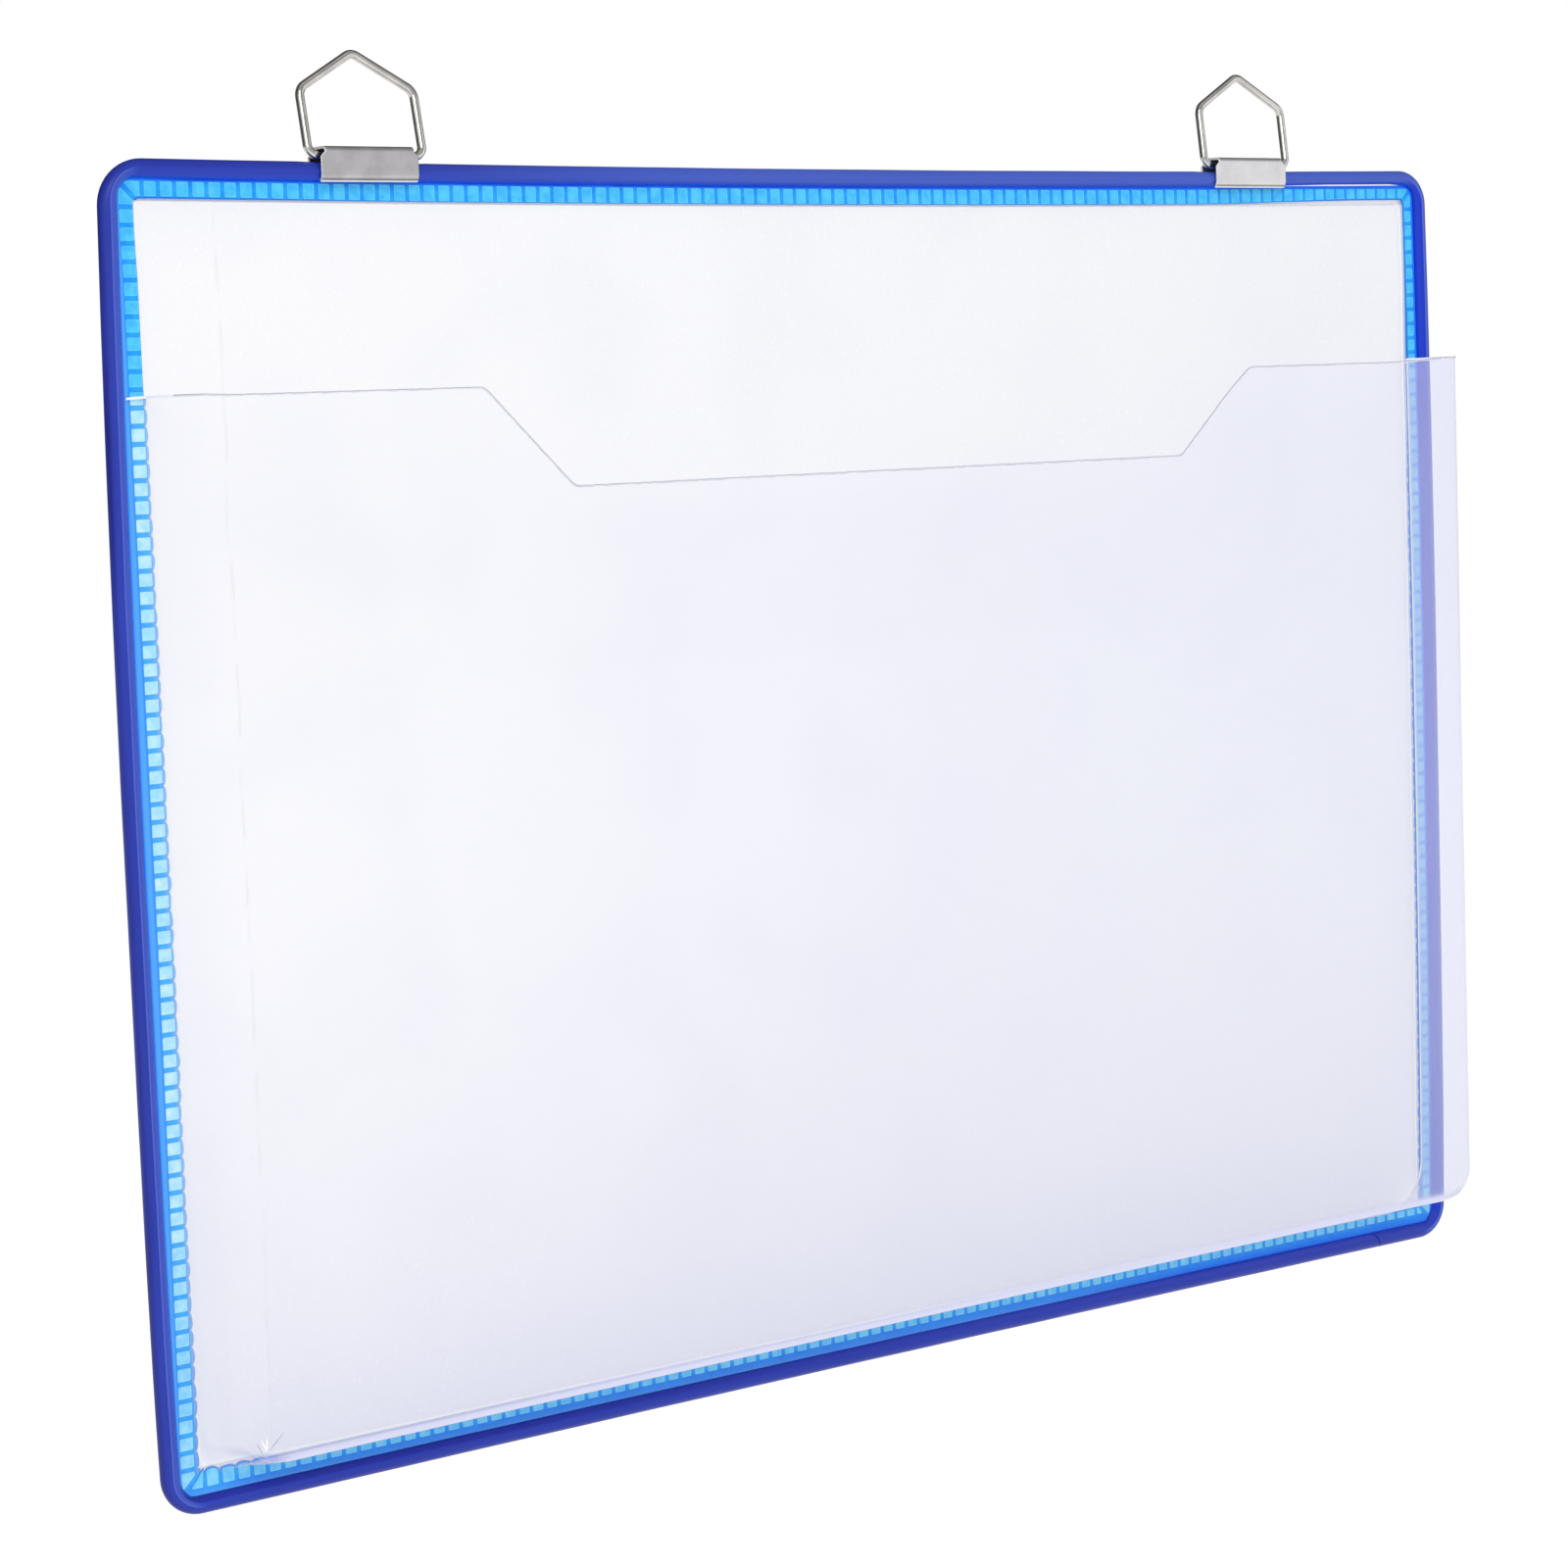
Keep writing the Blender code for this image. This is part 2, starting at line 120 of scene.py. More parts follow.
CORNER_LIFT = 0.0018
BOTTOM_DROOP = 0.0004
EDGE_LINE = 0.00018
EDGE_LIP = 0.00042

# Clips and rings
LEFT_CLIP_X = -0.11175
RIGHT_CLIP_X = 0.11045
RING_SLIDE = 0.0007
CLIP_WIDTH = 0.0206
CLIP_SHEET = 0.0005
CLIP_BEND_RADIUS = 0.0010
CLIP_CRIMP = 0.0006
CLIP_CRIMP_HEIGHT = 0.0013
CLIP_CORNER_CUT = 0.0009
FIT_GAP = 0.0003
RING_WIRE = 0.0017
WIRE_REACH = 0.00083
RING_HALF_WIDTH = 0.01215
RING_SHOULDER_HEIGHT = 0.0125
RING_HEIGHT = 0.0196
RING_RADII = (0.0020, 0.0026, 0.0022, 0.0026, 0.0020)
RING_LEAN_LEFT = math.radians(12.0)
RING_LEAN_RIGHT = math.radians(7.5)

# Fineness of the round sections, in steps round them
RIM_STEPS = 28
RING_STEPS = 24

# Studio
FLOOR_HEIGHT = -0.62
FLOOR_HALF_SIZE = 6
FLOOR_GLOW = 0.22
LAMP_PLACE = (-0.85, -1.25, 0.75)
LAMP_AIM = (0, 0, -0.14)
LAMP_SIZE = 0.9
LAMP_POWER = 7
CAMERA_PLACE = FRAME_MIDDLE + Vector((-0.47589, -0.61225, 0.07699))
CAMERA_TURN = (84.1801, 1.9715, -36.8502)
CAMERA_LENS = 87.45

HALF_WIDTH = FRAME_WIDTH / 2
HALF_HEIGHT = FRAME_HEIGHT / 2
PANEL_X = HALF_WIDTH - FOOT_INSET - FOLD_RADIUS
PANEL_LOW = FOOT_INSET + BOTTOM_WALL_LEAN + FOLD_RADIUS - HALF_HEIGHT
QUARTER_TURN = math.pi / 2


# ---------------------------------------------------------------- shader arithmetic


def tone(red, green, blue):
    """A colour as it is read off a picture, 0 to 255, for a socket."""
    linear = []
    for value in (red, green, blue):
        share = value / 255
        linear.append(share / 12.92 if share <= 0.04045 else ((share + 0.055) / 1.055) ** 2.4)
    return (*linear, 1)


class Reading:
    """One number that varies over a surface, written in ordinary arithmetic."""

    def __init__(self, finish, socket):
        self.finish = finish
        self.socket = socket

    def work(self, operation, *values, clamp=False):
        settings = {"operation": operation, "use_clamp": clamp}
        return self.finish.node("Math", settings, dict(enumerate(values)))

    def __add__(self, other):
        return self.work("ADD", self, other)

    __radd__ = __add__

    def __sub__(self, other):
        return self.work("SUBTRACT", self, other)

    def __rsub__(self, other):
        return self.work("SUBTRACT", other, self)

    def __mul__(self, other):
        return self.work("MULTIPLY", self, other)

    __rmul__ = __mul__

    def __truediv__(self, other):
        return self.work("DIVIDE", self, other)

    def __rtruediv__(self, other):
        return self.work("DIVIDE", other, self)

    def __gt__(self, other):
        return self.work("GREATER_THAN", self, other)

    def held(self):
        """The same number, kept between 0 and 1."""
        return self.work("ADD", self, 0, clamp=True)

    def ramp(self, low, high):
        """0 below low, 1 above high and a smooth rise between them."""
        settings = {"interpolation_type": "SMOOTHSTEP"}
        values = {"Value": self, "From Min": low, "From Max": high}
        return self.finish.node("MapRange", settings, values)

    def band(self, rise_from, rise_to, fall_from, fall_to):
        """1 between a smooth rise and a smooth fall, and 0 outside them."""
        return (self.ramp(rise_from, rise_to) - self.ramp(fall_from, fall_to)).held()


class Finish:
    """A node tree being filled in: the finish of a piece, or the light of the surroundings."""

    def __init__(self, tree):
        self.tree = tree

    def node(self, kind, settings=None, values=None, output=0):
        """Add one node. Its settings are set first and then its sockets are filled or linked."""
        made = self.tree.nodes.new("ShaderNode" + kind)
        for name, value in (settings or {}).items():
            if name == "stops":
                self.fill_stops(made.color_ramp, value)
            else:
                setattr(made, name, value)
        self.fill(made, values or {})
        return Reading(self, made.outputs[output])

    def fill(self, node, values):
        """Set or link the sockets of a node, by name or by number."""
        for name, value in values.items():
            if isinstance(value, Reading):
                self.tree.links.new(value.socket, node.inputs[name])
            else:
                node.inputs[name].default_value = value

    def fill_stops(self, ramp, stops):
        """Give a colour ramp its stops, each a place and a colour."""
        while len(ramp.elements) < len(stops):
            ramp.elements.new(1)
        for element, (place, colour) in zip(ramp.elements, stops):
            element.position = place
            element.color = colour

    def place(self):
        """Where a point of the piece is, in metres."""
        return self.node("TexCoord", output="Object")

    def parts(self, vector):
        """The three numbers of a place or direction."""
        split = self.node("SeparateXYZ", values={0: vector}).socket.node
        return [Reading(self, split.outputs[axis]) for axis in range(3)]

    def marked(self, name, output="Fac"):
        """What the mesh code wrote on the piece under this name."""
        return self.node("Attribute", {"attribute_name": name}, output=output)

    def stretched(self, vector, scale):
        """A place scaled along each axis."""
        return self.node("VectorMath", {"operation": "MULTIPLY"}, {0: vector, 1: scale})

    def cloud(self, vector, scale, detail=2.0, roughness=0.5):
        """Soft random variation around one half."""
        values = {"Vector": vector, "Scale": scale, "Detail": detail, "Roughness": roughness}
        return self.node("TexNoise", values=values)

    def blended(self, share, first, second):
        """The first colour turning into the second."""
        values = {"Factor": share, 6: first, 7: second}
        return self.node("Mix", {"data_type": "RGBA"}, values, output=2)

    def painted(self, colour, *coats):
        """The colour under further coats, each with its share and its tone's three values."""
        for share, shade in coats:
            colour = self.blended(share, colour, tone(*shade))
        return colour

    def made(self, values):
        """The material, once the shader's varying sockets are filled."""
        self.fill(self.shader, values)
        return self.material

    def spot(self, middle, half_length, half_width, turn):
        """1 on a long narrow spot seen from the front, fading to 0 at its outline."""
        x, y, z = self.parts(self.place())
        across = x - (FRAME_MIDDLE.x + middle[0])
        up = z - (FRAME_MIDDLE.z + middle[1])
        cosine = math.cos(math.radians(turn))
        sine = math.sin(math.radians(turn))
        along = (across * cosine + up * sine) / half_length
        beside = (up * cosine - across * sine) / half_width
        return 1 - (along * along + beside * beside).ramp(0.3, 1)

    def relief(self, height, distance, strength=1.0):
        """Surface relief from a height, for the Normal socket."""
        values = {"Height": height, "Distance": distance, "Strength": strength}
        return self.node("Bump", values=values)


def new_finish(name, **plain):
    """A material and its finish, with the shader's plain sockets set."""
    material = bpy.data.materials.new(name)
    material.use_nodes = True
    finish = Finish(material.node_tree)
    finish.material = material
    finish.shader = material.node_tree.nodes["Principled BSDF"]
    finish.fill(finish.shader, {key.replace("_", " "): value for key, value in plain.items()})
    return finish


# ---------------------------------------------------------------- finishes


def drawn_wire_finish():
    """Bare drawn steel, with fine lines along the wire."""
    finish = new_finish("drawn_steel_wire", Metallic=1.0)
    lines = finish.cloud(finish.place(), 900, 3)
    patches = finish.cloud(finish.place(), 60, 2).ramp(0.35, 0.65)
    return finish.made({
        "Base Color": finish.painted(tone(150, 151, 154), (patches, (176, 177, 180))),
        "Roughness": 0.28 + 0.2 * lines,
        "Normal": finish.relief(lines, 0.00002, 0.5),
    })


# Blues across the rim's section, from its outer edge to the flange: the plastic's deep blue, with
# painted shade darkening the outer edge.
RIM_LANES = (
    (0.00, tone(16, 24, 118)),
    (0.14, tone(26, 42, 150)),
    (0.45, tone(30, 52, 164)),
    (0.78, tone(28, 56, 178)),
    (0.92, tone(18, 64, 200)),
    (1.00, tone(18, 92, 232)),
)


def rim_finish():
    """The piping's round rim: deep blue soft plastic with faint streaks, in lengthwise lanes that
    are partly painted light.
    """
    finish = new_finish("deep_blue_rim_plastic", **{"IOR": 1.5, "Specular IOR Level": 0.3})
    strip = finish.marked("strip", "Vector")
    streaks = finish.cloud(finish.stretched(strip, (14, 900, 900)), 1, 3, 0.6)
    swell = finish.cloud(finish.stretched(strip, (30, 300, 300)), 1, 2)
    toward_flange = finish.parts(strip)[1]
    across = 0.5 + 0.5 * toward_flange / RIM_RADIUS + 0.06 * (swell - 0.5)
    x, y, z = finish.parts(finish.place())
    # Lighter blue over the upper right of the rim, away from the flange.
    lighter_upper_right = 0.95 * x.ramp(-0.13, -0.02) * z.ramp(-0.06, 0) * (1 - across.ramp(0.72, 0.92))
    left = 1 - x.ramp(-0.162, -0.158)
    right = x.ramp(0.158, 0.162)
    blue = finish.painted(
        finish.node("ValToRGB", {"stops": RIM_LANES}, {0: across}),
        (0.35 * (0.65 * streaks + 0.35 * swell).ramp(0.34, 0.66), (46, 70, 192)),
        (lighter_upper_right, (74, 102, 200)),
        # On the left and right sides the lighter lanes and narrow bright lines are painted
        # highlights; the right side's inner part is painted a deeper blue.
        (0.65 * left * across.band(0.40, 0.50, 0.84, 0.90), (66, 90, 196)),
        (0.5 * left * across.band(0.44, 0.48, 0.50, 0.54), (98, 118, 206)),
        (0.85 * right * (1 - across.ramp(0.50, 0.56)), (66, 88, 192)),
        (right * across.ramp(0.52, 0.58), (8, 54, 198)),
        (0.7 * right * across.band(0.46, 0.50, 0.54, 0.58), (92, 114, 214)),
    )
    low = 1 - z.ramp(-0.2610, -0.2575)
    under = finish.painted(tone(30, 42, 156), (x.ramp(-0.12, 0.08), (50, 66, 180)))
    blue = finish.blended(low * across.ramp(0.66, 0.76), blue, under)
    return finish.made({
        "Base Color": blue,
        "Roughness": 0.24 + 0.14 * swell,
        "Normal": finish.relief(0.5 * streaks + swell, 0.00006, 0.35),
    })


def flange_finish():
    """The piping's welded flange: thick separators are dark, and pressed cells are pale, with
    painted highlights on the bevels and the ridge by the rim.
    """
    finish = new_finish("welded_flange_plastic", **{"IOR": 1.5, "Specular IOR Level": 0.25})
    marks = ("pressed", "bonded", "toward_rim", "flash", "lit")
    pressed, bonded, toward_rim, flash, lit = [finish.marked(name) for name in marks]
    place = finish.place()
    x = finish.parts(place)[0]
    mottle = finish.cloud(place, 420, 3, 0.6)
    patches = finish.cloud(place, 90, 2)
    mottled = mottle.ramp(0.3, 0.7)
    bare_cell = finish.painted(tone(58, 184, 252), (mottled, (84, 206, 254)))
    bonded_cell = finish.painted(tone(158, 226, 254), (mottled, (200, 242, 255)))
    cell = finish.blended((bonded * (0.75 + 0.5 * patches)).held(), bare_cell, bonded_cell)
    root = finish.painted(
        tone(0, 82, 232),
        (patches.ramp(0.4, 0.6), (6, 100, 244)),
        (x.ramp(-0.05, 0.12), (6, 112, 252)),
        (1 - x.ramp(-0.158, -0.150), (16, 132, 252)),
    )
    ridge = finish.painted(
        tone(10, 150, 246),
        (mottled, (34, 168, 251)),
        (0.4 * bonded, (110, 200, 252)),
    )
    ridge = finish.blended(toward_rim, ridge, root)
    # Painted highlight on the ridge between the rim and the cells, fading out towards the right.
    ridge = finish.painted(ridge, (lit * (1 - x.ramp(0.04, 0.10)), (104, 190, 255)))
    soft_flash = finish.painted(
        tone(30, 120, 226),
        (bonded, (140, 194, 244)),
        (0.8 * flash.ramp(0.88, 1), (66, 138, 226)),
    )
    ridge = finish.blended(flash.ramp(0, 0.4), ridge, soft_flash)
    # Painted highlight on the cells' bevels, paler where the film is bonded over them.
    bevel_highlight = finish.painted(tone(112, 220, 255), (bonded * 0.7, (220, 250, 255)))
    colour = finish.blended(pressed.ramp(0.25, 0.75), ridge, cell)
    return finish.made({
        "Base Color": finish.blended(0.8 * pressed.band(0.1, 0.5, 0.6, 1.0), colour, bevel_highlight),
        "Roughness": 0.30 + 0.15 * mottle,
        "Normal": finish.relief(mottle, 0.00004, 0.3),
    })


def frosted_finish():
    """The back sheet: frosted film with a fine grain and one faint upright crease, with painted
    shade and a painted shadow.
    """
    finish = new_finish("frosted_back_film", **{"IOR": 1.45, "Alpha": 0.62, "Roughness": 0.55})
    place = finish.place()
    across, depth, up = finish.parts(place)
    grain = finish.cloud(place, 1500, 1, 0.6)
    haze = finish.cloud(place, 30, 1)
    shade = finish.painted(
        tone(242, 242, 247),
        # Darker towards the right; painted shade darkens the bottom.
        (across.ramp(-0.16, 0.16), (232, 234, 242)),
        (0.4 * haze.ramp(0.4, 0.7), (226, 228, 240)),
        (0.7 * (1 - up.ramp(-0.27, -0.15)), (216, 217, 232)),
        (0.3 * grain.ramp(0.60, 0.72), (255, 255, 255)),
        # Painted shade along the crease and a painted shadow line beside the flange.
        (0.6 * finish.marked("creased"), (206, 208, 220)),
        (finish.marked("lifted"), (255, 255, 255)),
    )
    return finish.made({"Base Color": shade, "Normal": finish.relief(grain, 0.00004, 0.5)})


def clear_film_finish():
    """Clear film, faintly lilac and darker towards the bottom, unseen where it is welded down, with
    painted highlights, a painted reflection, a painted sheen and painted shade.
    """
    finish = new_finish("clear_front_film", **{"IOR": 1.5, "Roughness": 0.14})
    marks = ("creased", "welded", "walled", "bluish", "grazed")
    creased, welded, walled, bluish, grazed = [finish.marked(name) for name in marks]
    place = finish.place()
    across, depth, up = finish.parts(place)
    tint = finish.cloud(finish.stretched(place, (1, 1, 0.6)), 22, 1)
    low = 1 - up.ramp(-0.26, -0.12)
    front = 1 - depth.ramp(-0.0165, -0.0145)
    # White strokes on the pinched corner: crease whitening together with painted highlights.
    pinch = finish.spot((-0.15519, -0.10722), 0.0019, 0.00015, -63)
    pinch = pinch + finish.spot((-0.15476, -0.10681), 0.0017, 0.00024, -87)
    white = (pinch * front).held()
    # Darker strokes along the corner's folds: painted shade.
    fold = finish.spot((-0.15293, -0.10673), 0.0026, 0.00014, 42)
    fold = (fold + finish.spot((-0.15590, -0.10760), 0.0018, 0.00010, -60)) * front
    lilac = finish.painted(
        tone(208, 211, 248),
        (tint.ramp(0.35, 0.65), (218, 222, 252)),
        (0.5 * low * (1 - walled), (186, 186, 206)),
        (bluish, (150, 166, 236)),
        (creased.ramp(0.1, 0.5), (255, 255, 255)),
        (grazed, (222, 224, 252)),
        (white, (255, 255, 255)),
        (fold, (150, 146, 192)),
    )
    hazy = (0.25 + 0.75 * across.ramp(-0.16, 0.06) + 0.4 * low + walled).held()
    haze = 0.15 * (0.85 + 0.3 * tint) * hazy * (1 + 1.6 * walled) * (1 - 0.92 * welded)
    marked = creased + 0.45 * bluish + 0.9 * white + 0.5 * fold + 0.94 * grazed
    return finish.made({"Base Color": lilac, "Alpha": (haze + marked).held()})


def film_edge_finish(name, shade, strength):
    """The film's cut edge, or the strip beside it whose pale colour is a painted highlight. Both
    are whiter down the walls, a painted highlight.
    """
    finish = new_finish(name, **{"IOR": 1.5, "Roughness": 0.25})
    place = finish.place()
    depth = finish.parts(place)[1]
    nicks = finish.cloud(place, 500, 2)
    # Painted highlight, whiter down the walls.
    wall = depth.ramp(-0.0135, -0.0120)
    return finish.made({
        "Base Color": finish.painted(
            tone(*shade),
            (nicks.ramp(0.3, 0.7), (206, 206, 220)),
            (wall, (255, 255, 255)),
        ),
        "Alpha": (strength * (0.8 + 0.4 * nicks) + 0.3 * wall).held(),
    })


def sheared_highlight_finish():
    """The clips' sheared edges, finely torn, painted near white as a highlight along them."""
    finish = new_finish("sheared_edge_highlight", Metallic=0.6)
    torn = finish.cloud(finish.place(), 3200, 2)
    return finish.made({
        "Base Color": finish.painted(tone(236, 236, 238), (torn.ramp(0.35, 0.6), (255, 255, 255))),
        "Roughness": 0.35 + 0.3 * torn,
        "Normal": finish.relief(torn, 0.00003, 0.6),
    })


def clip_finish():
    """Nickelled sheet steel: satin, faintly mottled, with fine slanting brush lines, and painted
    light and shade.
    """
    finish = new_finish("nickelled_sheet_steel", Metallic=1.0)
    place = finish.place()
    across = finish.parts(place)[0]
    slant = {"Vector": place, "Angle": 0.7}
    turned = finish.node("VectorRotate", {"rotation_type": "Y_AXIS"}, slant)
    brush = finish.cloud(finish.stretched(turned, (60, 60, 2400)), 1, 3, 0.6)
    mottle = finish.cloud(place, 260, 3, 0.6)
    mottled = mottle.ramp(0.3, 0.7)
    # The left clip is a darker painted copy and the right clip a lighter one: painted light and
    # shade on one steel.
    left = finish.painted(tone(192, 190, 192), (mottled, (208, 206, 208)))
    right = finish.painted(tone(228, 227, 229), (mottled, (240, 239, 242)))
    grey = finish.painted(
        finish.blended(across > 0, left, right),
        # Painted shade darkens the crimp, and a painted highlight runs along the bottom edge.
        (0.85 * finish.marked("crimped"), (70, 68, 74)),
        (finish.marked("burred"), (255, 255, 255)),
    )
    return finish.made({
        "Base Color": grey,
        "Roughness": 0.30 + 0.10 * mottle + 0.06 * brush,
        "Normal": finish.relief(brush, 0.00001, 0.5),
    })


def ring_finish():
    """Polished nickelled wire with drawing lines and small pits."""
    finish = new_finish("polished_nickel_wire", Metallic=1.0)
    place = finish.place()
    pits = finish.cloud(place, 2200, 2, 0.7)
    patches = finish.cloud(place, 240, 2)
    patchy = patches.ramp(0.35, 0.65)
    return finish.made({
        "Base Color": finish.painted(tone(206, 204, 200), (patchy, (226, 223, 217))),
        "Roughness": 0.10 + 0.10 * patches + 0.08 * pits.ramp(0.6, 0.75),
        "Normal": finish.relief(pits, 0.00002, 0.25),
    })


# ---------------------------------------------------------------- mesh helpers


def between(first, second, share):
    """The number this share of the way from the first to the second."""
    return first + (second - first) * share


def eased(value, low, high):
    """0 below low, 1 above high and a smooth rise between them."""
    share = min(max((value - low) / (high - low), 0), 1)
    return share * share * (3 - 2 * share)


def arched(value, half):
    """1 in the middle, falling in a curve to 0 this far to either side."""
    return 1 - (value / half) ** 2


def humped(value, middle, width):
    """1 at the middle, falling softly to nearly 0 two widths away."""
    return math.exp(-(((value - middle) / width) ** 2))


def float_layers(mesh, *names):
    """Layers for the numbers that the finishes read at each vertex."""
    return {name: mesh.verts.layers.float.new(name) for name in names}


def write_marks(vertex, layers, **marks):
    """Write a vertex's numbers into their layers."""
    for name, mark in marks.items():
        vertex[layers[name]] = mark


def evenly(first, last, count):
    """Numbers evenly spaced from the first to the last, both kept."""
    return [between(first, last, step / (count - 1)) for step in range(count)]


def bowed(x, z, bulge_share=1.0, low_share=1.0):
    """Bow a point of the flat frame: out at the sides and low corners, in at top and bottom."""
    bulge = bulge_share * SIDE_BULGE / HALF_WIDTH * arched(z, HALF_HEIGHT)
    sag = (TOP_SAG if z > 0 else BOTTOM_SAG) / HALF_HEIGHT * arched(x, HALF_WIDTH)
    beside = min(abs(x) / HALF_WIDTH, 1) ** 6
    widening = low_share * LOW_WIDENING * eased(-z, 0.0100, 0.1200) * beside
    return x * (1 + bulge) + math.copysign(widening, x), z * (1 - sag)


def join_rows(mesh, rows, rows_close=False, row_closes=False, material=0):
    """Cover the surface between neighbouring rows of vertices with four-sided faces."""
    row_count = len(rows) if rows_close else len(rows) - 1
    point_count = len(rows[0]) if row_closes else len(rows[0]) - 1
    for row in range(row_count):
        near = rows[row]
        far = rows[(row + 1) % len(rows)]
        for point in range(point_count):
            after = (point + 1) % len(near)
            corners = []
            for vertex in (near[point], near[after], far[after], far[point]):
                if vertex not in corners:
                    corners.append(vertex)
            if len(corners) > 2:
                mesh.faces.new(corners).material_index = material


def finish_piece(mesh, name, materials, body, node, smooth=40):
    """Turn a mesh into a piece that stands for its CAD node and rides on its body."""
    bmesh.ops.recalc_face_normals(mesh, faces=mesh.faces)
    data = bpy.data.meshes.new(name)
    mesh.to_mesh(data)
    mesh.free()
    data.transform(Matrix.Translation(FRAME_MIDDLE))
    data.shade_smooth()
    data.set_sharp_from_angle(angle=math.radians(smooth))
    for material in materials:
        data.materials.append(material)
    piece = bpy.data.objects.new(name, data)
    bpy.context.collection.objects.link(piece)
    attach(piece, body)
    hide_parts(node)
    return piece


def rounded_path(corners, radii, steps):
    """An open path of 2-D points whose inner corners are replaced by arcs."""
    points = [Vector(corners[0])]
    for index in range(1, len(corners) - 1):
        corner = Vector(corners[index])
        to_last = (Vector(corners[index - 1]) - corner).normalized()
        to_next = (Vector(corners[index + 1]) - corner).normalized()
        half_angle = to_last.angle(to_next) / 2
        radius = radii[index - 1]
        middle = corner + (to_last + to_next).normalized() * (radius / math.sin(half_angle))
        first = corner + to_last * (radius / math.tan(half_angle)) - middle
        last = corner + to_next * (radius / math.tan(half_angle)) - middle
        for step in range(steps + 1):
            points.append(middle + first.slerp(last, step / steps).normalized() * radius)
    points.append(Vector(corners[-1]))
    return points


# ---------------------------------------------------------------- edge piping


def frame_outline(inset, radius, gap, extra=0.0):
    """Once round the frame, from just right of the piping's slanting seam to just left of it."""
    seam_x = SEAM_X + SEAM_SLANT * (RIM_RADIUS - inset)
    half_x = HALF_WIDTH - inset
    half_z = HALF_HEIGHT - inset
    corners = []
    for sign_x, sign_z, wider in ((1, -1, 0), (1, 1, 0), (-1, 1, extra), (-1, -1, 0)):
        reach = radius + wider
        corners.append((sign_x * (half_x - reach), sign_z * (half_z - reach), reach))
    points = [(x, -half_z) for x in evenly(seam_x + gap / 2, corners[0][0], 6)[:-1]]
    for turn, steps in enumerate((50, 70, 50, 66)):
        middle_x, middle_z, reach = corners[turn]
        for step in range(12):
            angle = QUARTER_TURN * (turn - 1 + step / 12)
            points.append((middle_x + reach * math.cos(angle), middle_z + reach * math.sin(angle)))
        out_x = math.cos(QUARTER_TURN * turn)
        out_z = math.sin(QUARTER_TURN * turn)
        start = (middle_x + reach * out_x, middle_z + reach * out_z)
        end = (seam_x - gap / 2, -half_z)
        if turn < 3:
            next_x, next_z, next_reach = corners[turn + 1]
            end = (next_x + next_reach * out_x, next_z + next_reach * out_z)
        for step in range(steps):
            share = step / steps
            points.append((between(start[0], end[0], share), between(start[1], end[1], share)))
    points.append((seam_x - gap / 2, -half_z))
    return points


def rim_squeeze(x, z):
    """How much the clips squeeze the rim, 1 under a clip."""
    if z < 0:
        return 0
    near = min(abs(x - LEFT_CLIP_X), abs(x - RIGHT_CLIP_X))
    return 1 - eased(near, 0.0100, 0.0130)


def rim_row(section_radius, angle, lumpy):
    """One lengthwise row of the rim or of its bore, at an angle from the flange."""
    outward = -section_radius * math.cos(angle)
    depth = section_radius * math.sin(angle)
    corner = FRAME_CORNER_RADIUS - RIM_RADIUS
    middle_line = frame_outline(RIM_RADIUS, corner, SEAM_GAP)
    pinch = max(-outward / RIM_RADIUS, 0) ** 3 * (corner - RIM_RADIUS - RIM_INNER_RADIUS)
    extra = LEFT_CORNER_EXTRA * max(outward / RIM_RADIUS, 0) * lumpy
    turn = corner + outward - pinch * lumpy
    this_line = frame_outline(RIM_RADIUS - outward, turn, SEAM_GAP, extra)
    row = []
    for (middle_x, middle_z), (x, z) in zip(middle_line, this_line):
        slack = 0
        if lumpy:
            wave = noise.noise(Vector((middle_x * 60, math.cos(angle), middle_z * 60)))
            slack = 0.020 + 0.020 * wave
            slack += 0.07 * rim_squeeze(x, z) * max(-math.cos(angle), 0)
            narrow = eased(x, 0.0900, 0.1500) * (1 - eased(x, 0.1560, 0.1620)) * (z > 0)
            slack += 0.36 * narrow * max(math.cos(angle), 0)
        x = between(x, middle_x, slack)
        z = between(z, middle_z, slack)
        x, z = bowed(x, z, 1, 1 if lumpy else 0)
        row.append((x, depth * (1 - slack), z))
    return row


def line_lengths(points):
    """Distance along a line of points from its start to each point."""
    lengths = [0]
    for last, this in zip(points, points[1:]):
        lengths.append(lengths[-1] + (Vector(this) - Vector(last)).length)
    return lengths


def add_rim(mesh, strip):
    """The bored round rim, butted at its seam. The strip layer holds lengthwise places."""
    lengths = line_lengths(rim_row(0, 0, False))
    shells = []
    for radius, lumpy in ((RIM_RADIUS, True), (BORE_RADIUS, False)):
        rows = []
        for step in range(RIM_STEPS):
            angle = math.tau * step / RIM_STEPS
            across = (RIM_RADIUS * math.cos(angle), RIM_RADIUS * math.sin(angle))
            row = []
            for length, point in zip(lengths, rim_row(radius, angle, lumpy)):
                vertex = mesh.verts.new(point)
                vertex[strip] = (length, *across)
                row.append(vertex)
            rows.append(row)
        join_rows(mesh, rows, rows_close=True)
        shells.append(rows)
    for end in (0, -1):
        outer = [row[end] for row in shells[0]]
        inner = [row[end] for row in shells[1]]
        join_rows(mesh, [outer, inner], row_closes=True)


def inner_radius(inset):
    """Corner radius of a line on the flange this far in from the outside of the frame."""
    share = (inset - 2 * RIM_RADIUS) / (FLANGE_REACH - 2 * RIM_RADIUS)
    return max(between(FLANGE_ROOT_RADIUS, FLANGE_INNER_RADIUS, share), 0.0002)


def mitre_reach(half_length, inset):
    """How far along a side the corner mitre lies, on a line this far in."""
    return half_length - inset - inner_radius(inset) * (1 - math.sqrt(0.5))


